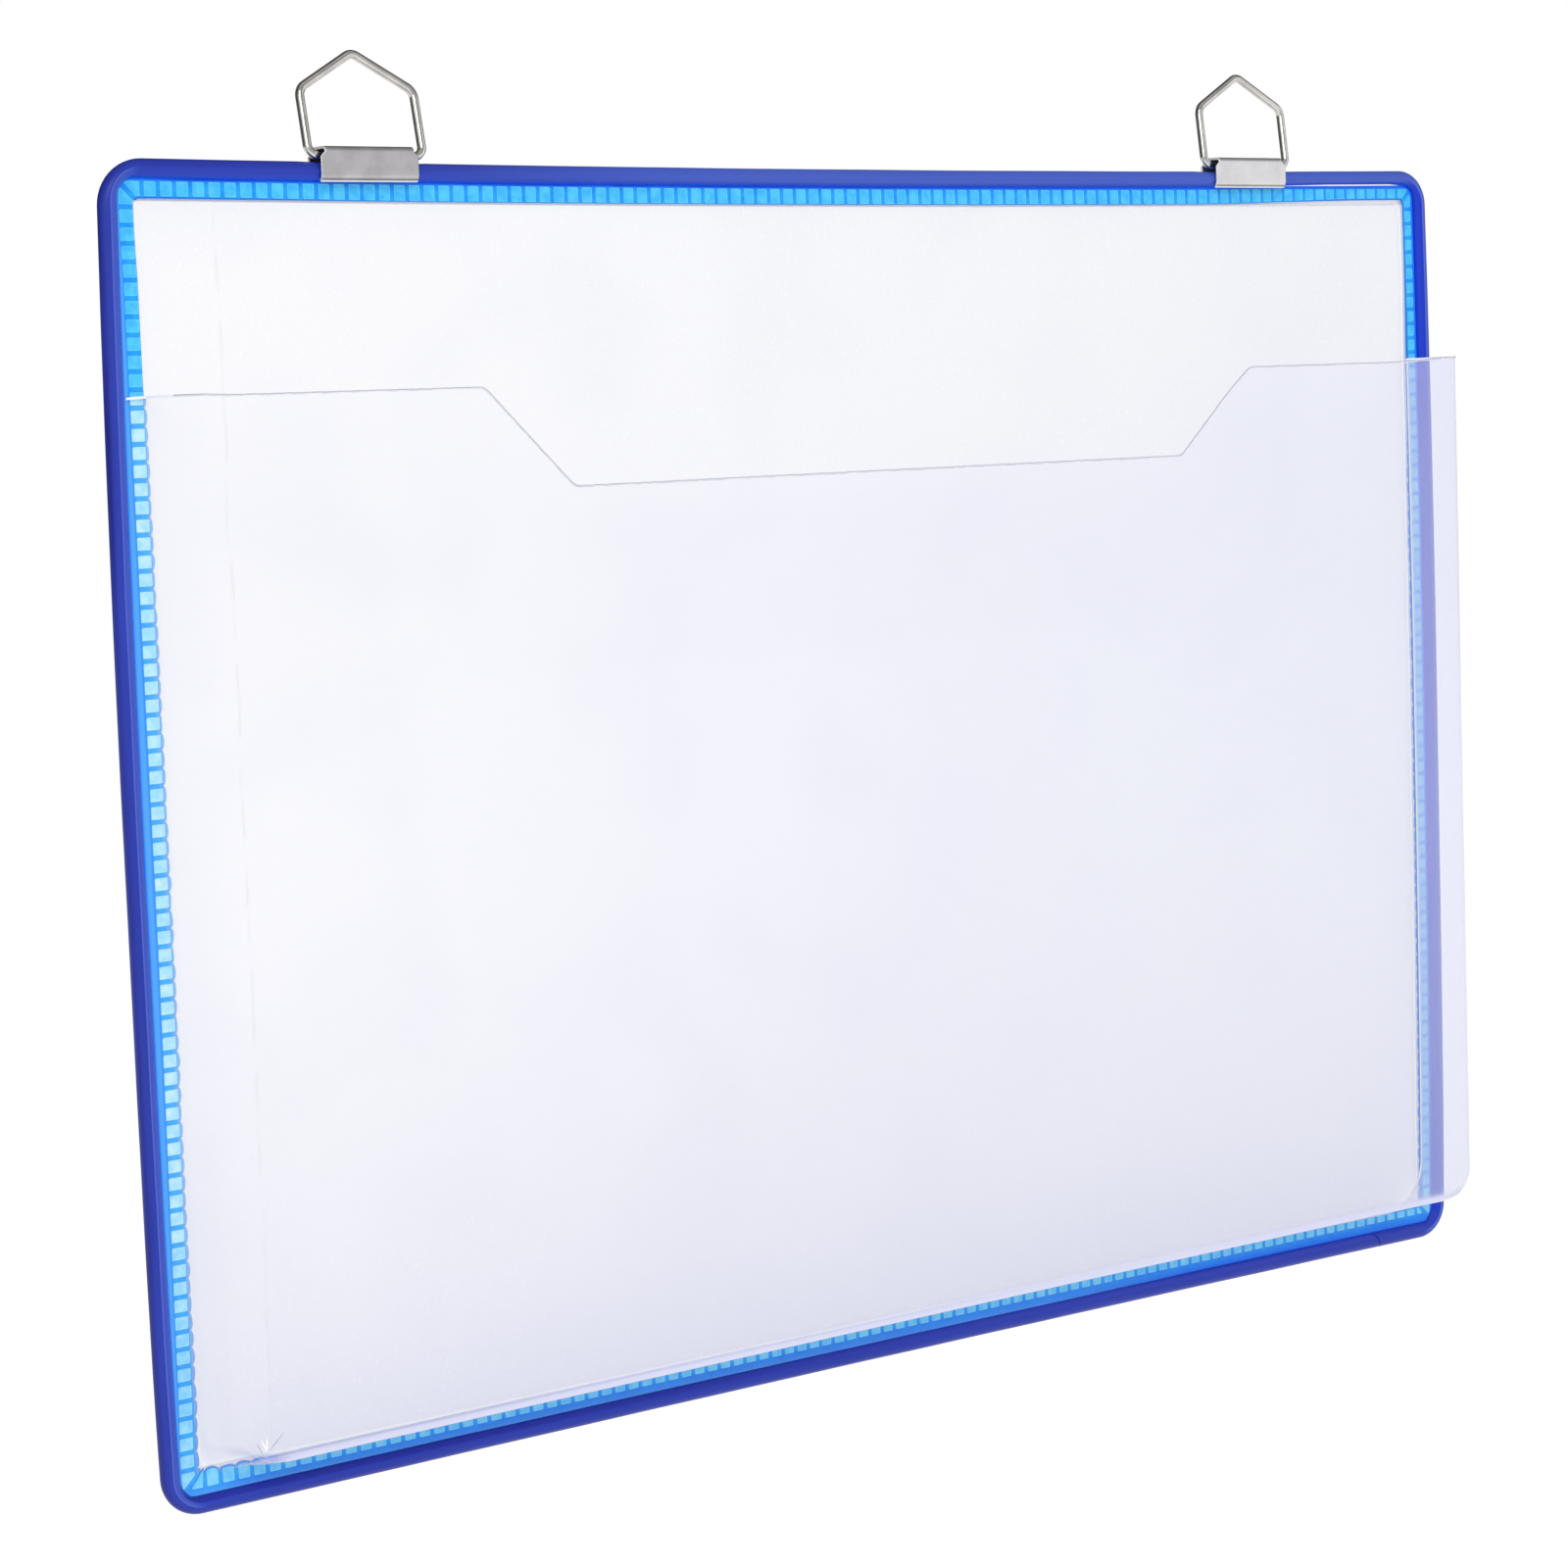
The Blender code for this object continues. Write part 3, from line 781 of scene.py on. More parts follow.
def drop_at(half_length, along, inset):
    """Extra distance inwards where a line turns into its corner."""
    radius = inner_radius(inset)
    over = abs(along) - (half_length - inset - radius)
    if over <= 0:
        return 0
    return radius - math.sqrt(max(radius * radius - over * over, 0))


def flange_edge(name, x, z):
    """Distance in from the outside of the frame to the flange's edge beside a separator."""
    if name == "top":
        return EDGE_TOP - TOP_RISE * eased(x, 0.0900, 0.1500)
    if name == "left":
        return EDGE_LEFT + EDGE_DRIFT * (1 - eased(z, -0.1150, -0.0500))
    if name == "right":
        return EDGE_RIGHT + EDGE_DRIFT * (1 - eased(z, 0.0750, 0.1050))
    return FLANGE_REACH


def flash_height(name, x, z):
    """How far plastic squeezed out beside a cell stands in from the flange's edge."""
    if name == "bottom":
        return FLASH_BOTTOM * between(1, 0.15, eased(x, -0.1480, -0.1400))
    if name == "left":
        return 0 if z > POCKET_TOP else FLASH_LEFT
    return FLASH_RIGHT * (1 - eased(z, 0.0500, 0.0700)) if name == "right" else 0


class FlangeSide:
    """One side of the flange, between two mitres, with its row of weld cells."""

    def __init__(self, name, half_length, cells):
        self.name = name
        self.half_length = half_length
        middle = (CELL_ROOT + CELL_INNER) / 2 + SEPARATOR_HALF
        self.pitch = 2 * (mitre_reach(half_length, middle)) / (cells + 2 * CELL_TO_MITRE)
        self.separators = [(count - cells / 2) * self.pitch for count in range(cells + 1)]

    def covered(self, z):
        """1 where the front film lies over the flange and is welded to it."""
        if self.name == "bottom":
            return 0.30
        if self.name == "top" or z > POCKET_TOP:
            return 0
        return between(0.55, 1, eased(z, -0.1150, -0.0500)) if self.name == "left" else 0.45

    def flat_place(self, along):
        """Where a place along the side is, across the frame and up it."""
        return {
            "top": (along, 0),
            "bottom": (-along, 0),
            "left": (0, along),
            "right": (0, -along),
        }[self.name]

    def edge(self, along, share):
        """Distance in from the outside to the flange's edge, with its squeezed-out arcs."""
        place = self.flat_place(along)
        arch = math.sqrt(max(1 - (2 * share - 1) ** 2, 0))
        swell = 0.9 + 0.5 * noise.noise(Vector((along * 240, 3, 0)))
        return flange_edge(self.name, *place) + flash_height(self.name, *place) * arch * swell

    def cell_end(self, along, share):
        """Distance in from the outside to the cells' inner ends."""
        if self.name == "bottom":
            return self.edge(along, share) - FLANGE_REACH + CELL_INNER
        if self.name == "left":
            return CELL_INNER_LEFT
        if self.name == "right":
            return CELL_INNER_RIGHT
        shy = between(0.0001, 0.00035, eased(abs(along), 0.1000, 0.1500))
        return self.edge(along, share) - shy

    def cell_root(self, along):
        """Distance in from the outside to the cells' outer ends."""
        if self.name == "bottom":
            share = (self.half_length - along) / (2 * self.half_length)
            return 2 * RIM_RADIUS + between(BOTTOM_STRIP_LEFT, BOTTOM_STRIP_RIGHT, share)
        rise = TOP_RISE * eased(along, 0.0900, 0.1500) if self.name == "top" else 0
        return CELL_ROOT_RIGHT if self.name == "right" else CELL_ROOT - 0.5 * rise

    def bulge_share(self, inset, z):
        """How far the flange bows out with the rim: not at all along the left side's cells."""
        if self.name != "left":
            return 1
        near_corner = eased(abs(z), 0.1000, 0.1150)
        return between(1, near_corner, eased(inset, 0.0036, 0.0040))

    def lit(self, kind, share):
        """1 on the ridge between the rim and the cells, where a highlight is painted."""
        if kind != "root":
            return 0
        if self.name == "bottom":
            return 1 if share < 0.0002 else 0.4
        return 0.6 if self.name == "left" and 0.0001 < share < 0.0003 else 0

    def columns(self):
        """Every column across the side: place rule, pressed share and share of its cell."""
        step = SEPARATOR_HALF
        bevel = CELL_BEVEL
        made = []
        bounds = [None, *self.separators, None]
        for cell in range(len(bounds) - 1):
            start, end = bounds[cell], bounds[cell + 1]
            offsets = [(0, 0, 0), (0, step, 0), (0, step + bevel, 1), (0.3, 0, 1), (0.5, 0, 1)]
            offsets += [(0.7, 0, 1), (1, -step - bevel, 1), (1, -step, 0)]
            if end is None:
                offsets.append((1, 0, 0))
            for share, shift, pressed in offsets:
                made.append((start, end, share, shift, pressed))
        return made

    def along_at(self, column, inset):
        """Place along the side of a column on a line this far in, and its share of the cell."""
        start, end, share, shift, pressed = column
        first = -mitre_reach(self.half_length, inset) if start is None else start
        last = mitre_reach(self.half_length, inset) if end is None else end
        wide = max(last - first, 1e-6)
        squeeze = min(1, wide / (3 * (SEPARATOR_HALF + CELL_BEVEL)))
        along = between(first, last, share) + shift * squeeze
        return along, (along - first) / wide

    def turned(self, along, inward):
        """A point of this side in the frame's own plane."""
        low = HALF_HEIGHT - inward if self.name in ("top", "bottom") else HALF_WIDTH - inward
        return {
            "top": (along, low),
            "bottom": (-along, -low),
            "left": (-low, along),
            "right": (low, -along),
        }[self.name]


def flange_rows():
    """Lines across the flange: (kind, share, pressed, raise, toward the rim, flash)."""
    return [
        ("root", -0.00035, 0, 0.0, 1.0, 0),
        ("root", 0.00002, 0, 0.0, 1.0, 0),
        ("root", 0.00012, 0, 0.00010, 1.0, 0),
        ("root", 0.00024, 0, 0.00010, 0.9, 0),
        ("root", 0.00036, 0, 0.0, 0.8, 0),
        ("cell", 0.0, 0, 0.0, 0.35, 0),
        ("bevel", 1, 1, 0.0, 0.2, 0),
        ("cell", 0.25, 1, 0.0, 0.1, 0),
        ("cell", 0.5, 1, 0.0, 0.0, 0),
        ("cell", 0.75, 1, 0.0, 0.0, 0),
        ("bevel", -1, 1, 0.0, 0.0, 0),
        ("cell", 1.0, 0, 0.0, 0.0, 0),
        ("edge", 0.35, 0, -0.00002, 0.0, 0.4),
        ("edge", 0.80, 0, -0.00005, 0.0, 0.85),
        ("edge", 1.0, 0, -0.00012, 0.0, 1.0),
    ]


def add_flange_side(mesh, side, layers):
    """One welded side of the flange, front and back."""
    fronts = []
    backs = []
    for kind, share, pressed_row, lift, toward_rim, flash in flange_rows():
        front = []
        back = []
        for column in side.columns():
            rough, cell_share = side.along_at(column, CELL_INNER)
            root = side.cell_root(rough)
            tip = side.cell_end(rough, cell_share)
            if kind == "root":
                inset = 2 * RIM_RADIUS + share
            elif kind == "cell":
                inset = between(root, tip, share)
            elif kind == "bevel":
                inset = (root if share > 0 else tip) + share * CELL_BEVEL
            else:
                inset = between(tip, side.edge(rough, cell_share), share)
            along, cell_share = side.along_at(column, inset)
            inward = inset + drop_at(side.half_length, along, inset)
            x, z = side.turned(along, inward)
            x, z = bowed(x, z, side.bulge_share(inset, z))
            pressed = pressed_row * column[4]
            y = FLANGE_FACE + lift - CELL_PRESS * pressed
            for row, depth in ((front, -y), (back, FLANGE_FACE + min(lift, 0) - 0.00004 * pressed)):
                vertex = mesh.verts.new((x, depth, z))
                write_marks(vertex, layers, pressed=pressed, toward_rim=toward_rim, flash=flash)
                write_marks(vertex, layers, bonded=side.covered(z), lit=side.lit(kind, share))
                row.append(vertex)
        fronts.append(front)
        backs.append(back)
    join_rows(mesh, fronts + backs[::-1], material=1)


def make_piping(materials):
    """The whole edge piping."""
    mesh = bmesh.new()
    strip = mesh.verts.layers.float_vector.new("strip")
    layers = float_layers(mesh, "pressed", "bonded", "toward_rim", "flash", "lit")
    add_rim(mesh, strip)
    for name in ("top", "bottom"):
        add_flange_side(mesh, FlangeSide(name, HALF_WIDTH, CELLS_ALONG_TOP), layers)
    for name in ("left", "right"):
        add_flange_side(mesh, FlangeSide(name, HALF_HEIGHT, CELLS_UP_SIDE), layers)
    return finish_piece(mesh, "welded_piping", materials, "pocket", "edge_piping")


# ---------------------------------------------------------------- back sheet


BESIDE_FLANGE = [step * 0.00016 for step in range(8)]


def sheet_row(half_x, z):
    """Places across the back sheet, closer together beside the flange and at the crease."""
    crease_x = SHEET_CREASE_X + 0.0007 * noise.noise(Vector((3, 1, z * 60)))
    left_edge = flange_edge("left", 0, z) + 0.6 * flash_height("left", 0, z) - HALF_WIDTH
    right_edge = HALF_WIDTH - flange_edge("right", 0, z) - 0.4 * flash_height("right", 0, z)
    left = evenly(-half_x, left_edge - 0.0002, 3) + [left_edge + step for step in BESIDE_FLANGE]
    left += evenly(left_edge + 0.003, crease_x - 0.003, 6)
    crease = [crease_x + shift for shift in (-0.0006, -0.0002, 0, 0.0002, 0.0006)]
    middle = evenly(crease_x + 0.003, right_edge - 0.002, 90)
    right = [right_edge - step for step in reversed(BESIDE_FLANGE)]
    return left + crease + middle + right + evenly(right_edge + 0.0002, half_x, 3), crease_x


def beside_flange(x, z):
    """How far a place of the sheet is from the flange's edge, turning its corners roundly."""
    name = "left" if x < 0 else "right"
    cover = 0.6 if x < 0 else 0.4
    aside = HALF_WIDTH - abs(x) - flange_edge(name, x, z) - cover * flash_height(name, x, z)
    name = "top" if z > 0 else "bottom"
    below = HALF_HEIGHT - abs(z) - flange_edge(name, x, z) - flash_height(name, x, z)
    turn = 0.0025 if x > 0 and z > 0 else 0.0010
    if aside < turn and below < turn:
        return turn - math.hypot(turn - aside, turn - below)
    return min(aside, below)


def make_back_sheet(material):
    """The frosted sheet, with faint waves over its whole face and one upright crease."""
    half_z = HALF_HEIGHT - SHEET_EDGE
    half_x = HALF_WIDTH - SHEET_EDGE
    radius = FRAME_CORNER_RADIUS - SHEET_EDGE
    mesh = bmesh.new()
    layers = float_layers(mesh, "creased", "lifted")
    low = HALF_HEIGHT - FLANGE_REACH
    high = HALF_HEIGHT - EDGE_TOP
    below = evenly(-half_z, -half_z + radius, 5) + [-low - 0.0002]
    below += [step - low for step in BESIDE_FLANGE]
    above = [high - step for step in reversed(BESIDE_FLANGE)] + [high + 0.0002]
    above += evenly(half_z - radius, half_z, 5)
    heights = below + evenly(-low + 0.002, high - 0.002, 110) + above
    rows = []
    for z in heights:
        over = max(abs(z) - (half_z - radius), 0)
        reach = half_x - radius + math.sqrt(max(radius ** 2 - over ** 2, 0))
        row = []
        places, crease_x = sheet_row(half_x, z)
        for x in places:
            wobble = 0.00022 * noise.noise(Vector((x * 300, 4, z * 300))) if x > 0 else 0
            beyond = beside_flange(x, z) + wobble
            line = humped(beyond, 0.00038, 0.00022)
            # A painted shadow line along the flange's edge on the right side.
            shadow = humped(beyond, 0.00086, 0.00016) * eased(x, 0.1000, 0.1500)
            inner = arched(x, half_x) * arched(z, half_z)
            wave = 0.00090 * noise.noise(Vector((x * 18, 2.5, z * 14)))
            wave += 0.00036 * noise.noise(Vector((x * 60, 9.5, z * 30)))
            # Where the crease runs: it dips the sheet and is painted with shade.
            on_crease = 1 - eased(abs(x - crease_x), 0, 0.0004)
            on_crease *= eased(noise.noise(Vector((8, 2, z * 160))), -0.25, 0.25)
            bow_x, bow_z = bowed(min(max(x, -reach), reach), z, 0 if x < 0 else 1)
            depth = SHEET_MIDDLE - abs(inner * wave) - 0.00012 * on_crease - 0.00018 * line
            vertex = mesh.verts.new((bow_x, depth, bow_z))
            # This mark carries painted shade along the crease and the painted shadow beside the
            # flange.
            write_marks(vertex, layers, creased=max(0.8 * on_crease, 0.9 * shadow), lifted=line)
            row.append(vertex)
        rows.append(row)
    join_rows(mesh, rows)
    return finish_piece(mesh, "frosted_sheet", [material], "pocket", "back_sheet")


# ---------------------------------------------------------------- front pocket


def front_point(x, depth, z):
    """A point of the folded front, which narrows and gapes a little towards its mouth."""
    share = z / HALF_HEIGHT
    return x * (1 - share * SIDE_WALL_TAPER / HALF_WIDTH), -depth - share * MOUTH_GAPE, z


def cutout_profile():
    """The panel's top edge as a fine line from left to right."""
    half_top = CUTOUT_TOP_WIDTH / 2
    half_bottom = CUTOUT_BOTTOM_WIDTH / 2
    floor = POCKET_TOP - CUTOUT_DEPTH
    corners = [(-HALF_WIDTH, POCKET_TOP), (-half_top, POCKET_TOP), (-half_bottom, floor)]
    corners += [(-x, z) for x, z in reversed(corners)]
    return rounded_path(corners, [CUTOUT_CORNER_RADIUS] * 4, 12)


CUTOUT_LINE = cutout_profile()


def top_edge(x):
    """Height of the panel's top edge at x."""
    for left, right in zip(CUTOUT_LINE, CUTOUT_LINE[1:]):
        if left.x <= x <= right.x and right.x > left.x:
            return between(left.y, right.y, (x - left.x) / (right.x - left.x))
    return POCKET_TOP


def bottom_places():
    """Places along the pocket's bottom, closer together under the cut-out's slopes."""
    half_bottom = CUTOUT_BOTTOM_WIDTH / 2
    half_top = CUTOUT_TOP_WIDTH / 2
    slope = evenly(half_bottom - 0.005, half_top + 0.005, 34)
    outer = evenly(half_top + 0.005, 0.1490, 16)
    return evenly(0, half_bottom - 0.005, 24)[:-1] + slope + outer[1:]


ARC_STEPS = 7
SIDE_STEPS = 64


def half_outline(half_x, bottom, radius):
    """From the middle of the bottom round one corner and up one wall."""
    run_x = half_x - radius
    run_z = bottom + radius
    stretch = run_x / bottom_places()[-1]
    points = [(x * stretch, bottom) for x in bottom_places()]
    for step in range(1, 2 * ARC_STEPS + 1):
        angle = -QUARTER_TURN + QUARTER_TURN * step / (2 * ARC_STEPS)
        points.append((run_x + radius * math.cos(angle), run_z + radius * math.sin(angle)))
    return points + [(half_x, z) for z in evenly(run_z, POCKET_TOP, SIDE_STEPS)[1:]]


def pocket_outline(half_x, bottom, left_radius, right_radius):
    """Down the left wall, along the bottom and up the right wall, with round corners."""
    left = half_outline(half_x, bottom, left_radius)
    right = half_outline(half_x, bottom, right_radius)
    return [(-x, z) for x, z in reversed(left)][:-1] + right


def border_row(inset, share, depth):
    """One row of the welded border or foot, bowed like the frame. Share 1 is at the foot."""
    edge_radius = FRAME_CORNER_RADIUS - SHEET_EDGE
    left_radius = between(edge_radius, FOOT_CORNER_LEFT, share)
    right_radius = between(edge_radius, FOOT_CORNER_RIGHT, share)
    low = -(HALF_HEIGHT - inset)
    row = []
    for x, z in pocket_outline(HALF_WIDTH - inset, low, left_radius, right_radius):
        bow_x, bow_z = bowed(x, z)
        row.append(Vector((bow_x, -depth, bow_z)))
    return row


def panel_rows(edge):
    """Fill the panel inside its folded edge, whose points run left, bottom, right."""
    side_count = SIDE_STEPS + ARC_STEPS
    left = edge[:side_count]
    right = edge[len(edge) - side_count:][::-1]
    bottom = edge[side_count - 1:len(edge) - side_count + 1]
    shares = [(point.x - bottom[0].x) / (bottom[-1].x - bottom[0].x) for point in bottom]
    top = []
    for share in shares:
        x = between(left[0].x, right[0].x, share)
        top.append(Vector((x, between(left[0].y, right[0].y, share), top_edge(x))))
    rows = []
    for row in range(side_count):
        down = (left[0].z - left[row].z) / (left[0].z - left[-1].z)
        points = []
        for column, share in enumerate(shares):
            across = between(left[row], right[row], share)
            upright = between(top[column], bottom[column], down)
            ends_top = between(left[0], right[0], share)
            ends_bottom = between(left[-1], right[-1], share)
            points.append(across + upright - between(ends_top, ends_bottom, down))
        rows.append(points)
    return rows


CREASES = (
    ((-0.1572, -0.1033), (-0.15445, -0.1090), 0.00045, 0.00026),
    ((-0.1547, -0.1052), (-0.1544, -0.1088), 0.00060, 0.00022),
    ((-0.1489, -0.1010), (-0.1525, -0.1053), -0.00035, 0.00050),
    ((-0.1525, -0.1053), (-0.15442, -0.1090), -0.00050, 0.00040),
)


def crease_at(x, z):
    """Height of the pinched corner's creases at a place on the panel."""
    place = Vector((x, z))
    height = 0
    for start, end, lift, width in CREASES:
        start = Vector(start)
        run = Vector(end) - start
        share = min(max((place - start).dot(run) / run.length_squared, 0), 1)
        away = (place - start - run * share).length
        fade = humped(away, 0, width) * (0.25 + 0.75 * share)
        height += 0.6 * lift * fade
    return height


def slackened(point):
    """Let a point of the film sag and ripple as the soft film does."""
    x, y, z = point
    depth = -y
    forward = eased(depth, 0.0125, 0.0185)
    across = max(arched(x, PANEL_X), 0)
    sag = MOUTH_SAG * across * eased(z, PANEL_LOW, POCKET_TOP) * forward
    ripple = 0.00030 * noise.noise(Vector((x * 16, 4.2, z * 9)))
    ripple += 0.00010 * noise.noise(Vector((x * 45, 1.2, z * 30)))
    lift = crease_at(x, z) * eased(depth, 0.0090, 0.0150)
    y = -depth + sag + forward * across ** 0.3 * (ripple + 0.0003) + lift
    low = eased(depth, 0.0020, 0.0100) * (1 - eased(z, -0.1080, -0.0600))
    z += low * (BOTTOM_TILT * x / HALF_WIDTH - BOTTOM_DROOP * (x / HALF_WIDTH) ** 2)
    pulled_up = humped(x, -0.1575, 0.0042) * (1 - eased(z, -0.1100, -0.1020))
    z += CORNER_LIFT * pulled_up * eased(depth, 0.0010, 0.0100)
    near_top = eased(z, 0.0200, 0.0800)
    left_peak = 0.00030 * humped(x, -0.1580, 0.0040)
    right_dip = -0.00075 * eased(x, 0.0900, 0.0980) * (1 - eased(x, 0.1370, 0.1560))
    z += near_top * (left_peak + right_dip)
    return Vector((x, y, z))


def foot_crease_highlight(x, z):
    """How white the line along the foot's bend is: a painted highlight with some crease whitening,
    strong up the right side, faint at the left and below.
    """
    right = eased(x, 0.1440, 0.1530)
    below = 1 - eased(z, -0.1120, -0.1080)
    return between(between(0.12, 1.0, right), 0.02, below)


def folded_rows():
    """Rows of the folded sheet from its border to the panel, each with crease highlight, weld and
    wall.
    """
    rows = []
    # The crease values whiten the foot's bend: painted highlight with some crease whitening.
    for share, crease in ((0, 0), (0.5, 0), (0.93, 0), (1, 0.8)):
        inset = between(SHEET_EDGE, FOOT_INSET - FOOT_BEND, share)
        rows.append((border_row(inset, share, SHEET_MIDDLE), crease, 1, 0))
    for step in range(1, 5):
        angle = QUARTER_TURN * step / 4
        inset = FOOT_INSET - FOOT_BEND * (1 - math.sin(angle))
        depth = SHEET_MIDDLE + FOOT_BEND * (1 - math.cos(angle))
        rows.append((border_row(inset, 1, depth), 0.95 if step < 4 else 0.5, 0.4, 0.5))
    foot = rows[-1][0]
    foot_low = -(HALF_HEIGHT - FOOT_INSET) + BOTTOM_WALL_LEAN
    folds = []
    for step in range(13):
        angle = QUARTER_TURN * step / 12
        inset = FOLD_RADIUS * (1 - math.cos(angle))
        depth = POCKET_DEPTH - FOLD_RADIUS * (1 - math.sin(angle))
        left_radius = FRONT_CORNER_RADIUS - inset
        right_radius = FRONT_CORNER_RIGHT - inset
        wide = HALF_WIDTH - FOOT_INSET - inset
        outline = pocket_outline(wide, foot_low + inset, left_radius, right_radius)
        points = [Vector(front_point(x, depth, z)) for x, z in outline]
        folds.append((points, 0, 0, math.cos(angle)))
    for step in range(1, 14):
        near_far = zip(foot, folds[0][0])
        rows.append(([between(near, far, step / 14) for near, far in near_far], 0, 0, 1))
    return rows + folds


def add_cut_edge(mesh, edge, down, cut, lip):
    """A hem as wide as the film is thick over its cut edge, with a strip below it that carries a
    painted highlight.
    """
    rows = [[] for _ in range(6)]
    for index, vertex in enumerate(edge):
        along = edge[min(index + 1, len(edge) - 1)].co - edge[max(index - 1, 0)].co
        fall = (down[index].co - vertex.co).normalized()
        side = along.cross(fall).normalized() * FILM / 2
        inside = ((side, EDGE_LIP), (side, EDGE_LINE), (side, 0))
        outside = ((-side, 0), (-side, EDGE_LINE), (-side, EDGE_LIP))
        for row, (shift, drop) in zip(rows, inside + outside):
            row.append(mesh.verts.new(vertex.co + shift + fall * drop))
    join_rows(mesh, rows[1:5], material=cut)
    join_rows(mesh, rows[:2], material=lip)
    join_rows(mesh, rows[4:], material=lip)


def make_front_pocket(materials):
    """The clear sheet: a welded border, three walls and a front panel, folded from one piece."""
    mesh = bmesh.new()
    layers = float_layers(mesh, "creased", "welded", "walled", "bluish", "grazed")

    def add_point(point, crease, weld, wall):
        vertex = mesh.verts.new(slackened(point))
        # A painted highlight along the fold's bottom edge near the right corner.
        rim_cross = eased(point.x, 0.1400, 0.1500) * (1 - eased(point.z, -0.1098, -0.1085))
        rim_cross *= eased(-point.y, 0.0140, 0.0150) * (1 - eased(-point.y, 0.0165, 0.0180))
        # The bottom wall between the corners gets a painted sheen, as film seen at a grazing angle.
        low_wall = 1 - eased(point.z, -0.1100, -0.1072)
        between_corners = eased(point.x, -0.1535, -0.1480) * (1 - eased(point.x, 0.1480, 0.1530))
        # A painted blue reflection at the pinched lower left corner.
        pinched = humped(point.x, -0.1530, 0.0046) * humped(point.z, -0.1098, 0.0009)
        write_marks(
            vertex, layers,
            creased=max(crease * foot_crease_highlight(point.x, point.z), rim_cross),
            welded=weld,
            walled=wall * between(0.15, 1, eased(point.x, -0.1500, 0.1000)),
            bluish=0.9 * pinched * (1 - weld),
            grazed=eased(wall, 0, 0.5) * low_wall * between_corners,
        )
        return vertex

    rows = folded_rows()
    folded = [[add_point(point, *marks) for point in row] for row, *marks in rows]
    join_rows(mesh, folded)
    edge = folded[-1]
    side_count = SIDE_STEPS + ARC_STEPS
    panel = []
    for index, row in enumerate(panel_rows(rows[-1][0])[:-1]):
        inside = [add_point(point, 0, 0, 0) for point in row[1:-1]]
        panel.append([edge[index], *inside, edge[-1 - index]])
    panel.append(edge[side_count - 1:len(edge) - side_count + 1])
    join_rows(mesh, panel)
    left_wall = [row[0] for row in folded[:-1]]
    right_wall = [row[-1] for row in folded[:-1]][::-1]
    below_left = [row[1] for row in folded[:-1]]
    below_right = [row[-2] for row in folded[:-1]][::-1]
    add_cut_edge(mesh, left_wall + panel[0] + right_wall, below_left + panel[1] + below_right, 1, 2)
    return finish_piece(mesh, "folded_pocket", materials, "pocket", "front_pocket")


# ---------------------------------------------------------------- clips and rings


def bar_height():
    """Height of the rings' bars, which lie on top of the bowed rim."""
    rim_top = bowed(LEFT_CLIP_X, HALF_HEIGHT)[1]
    return rim_top + FIT_GAP + RING_WIRE / 2


def clip_section():
    """The folded profile down the front and up the back: outer and inner points, half width."""
    inner_leg = RIM_RADIUS + FIT_GAP
    inner_top = RING_WIRE / 2 + FIT_GAP
    outer_leg = inner_leg + CLIP_SHEET
    outer_top = inner_top + CLIP_SHEET
    bottom = -RING_WIRE / 2 - FIT_GAP - 2 * RIM_RADIUS - 0.0001
    full = CLIP_WIDTH / 2
    narrow = full - CLIP_CORNER_CUT
    bend = outer_top - CLIP_BEND_RADIUS
    inner_bend = CLIP_BEND_RADIUS - CLIP_SHEET
    half = []
    for step in range(9):
        z = bottom + CLIP_CRIMP_HEIGHT * step / 8
        inwards = CLIP_CRIMP * (1 - step / 8) ** 1.5
        half.append((outer_leg - inwards, z, inner_leg - inwards, z, full))
    for step in range(1, 4):
        z = between(bottom + CLIP_CRIMP_HEIGHT, bend - CLIP_CORNER_CUT, step / 3)
        half.append((outer_leg, z, inner_leg, z, full))
    for step in range(9):
        angle = QUARTER_TURN * step / 8
        across = math.cos(angle)
        up = math.sin(angle)
        outer = (outer_leg - CLIP_BEND_RADIUS * (1 - across), bend + CLIP_BEND_RADIUS * up)
        inner = (inner_leg - inner_bend * (1 - across), bend + inner_bend * up)
        half.append((*outer, *inner, narrow))
    front = [(-y, z, -inner_y, inner_z, wide) for y, z, inner_y, inner_z, wide in half]
    return front + half[::-1]


def make_clip(name, x, node, materials):
    """A strip of sheet steel folded over the rim and the ring's bar, with sheared edges."""
    mesh = bmesh.new()
    layers = float_layers(mesh, "crimped", "burred")
    section = clip_section()
    bottom = section[0][1]
    rows = []
    for outer_y, outer_z, inner_y, inner_z, wide in section:
        row = []
        for y, z, side in ((outer_y, outer_z, 1), (inner_y, inner_z, -1)):
            for share in evenly(-side, side, 7):
                row.append(mesh.verts.new((x + wide * share, y, bar_height() + z)))
        # The crimp's band gets painted shade, and the bottom edge a painted highlight.
        height = outer_z - bottom
        crimped = eased(height, 0.0002, 0.0004) * (1 - eased(height, 0.0004, 0.0008))
        for vertex in row:
            write_marks(vertex, layers, crimped=crimped, burred=1 - eased(height, 0.0001, 0.0003))
        rows.append(row)
    join_rows(mesh, rows, row_closes=True)
    mesh.faces.new(rows[0])
    mesh.faces.new(rows[-1])
    mesh.normal_update()
    # The side faces and ends take the sheared-edge finish, painted near white as a highlight.
    for face in mesh.faces:
        if abs(face.normal.x) > 0.6 or len(face.verts) > 4:
            face.material_index = 1
    clip = finish_piece(mesh, name, materials, "pocket", node, 30)
    edge = clip.modifiers.new("deburred_edges", "BEVEL")
    edge.width = 0.00012
    edge.segments = 2
    edge.limit_method = "ANGLE"
    edge.angle_limit = math.radians(50)
    return clip


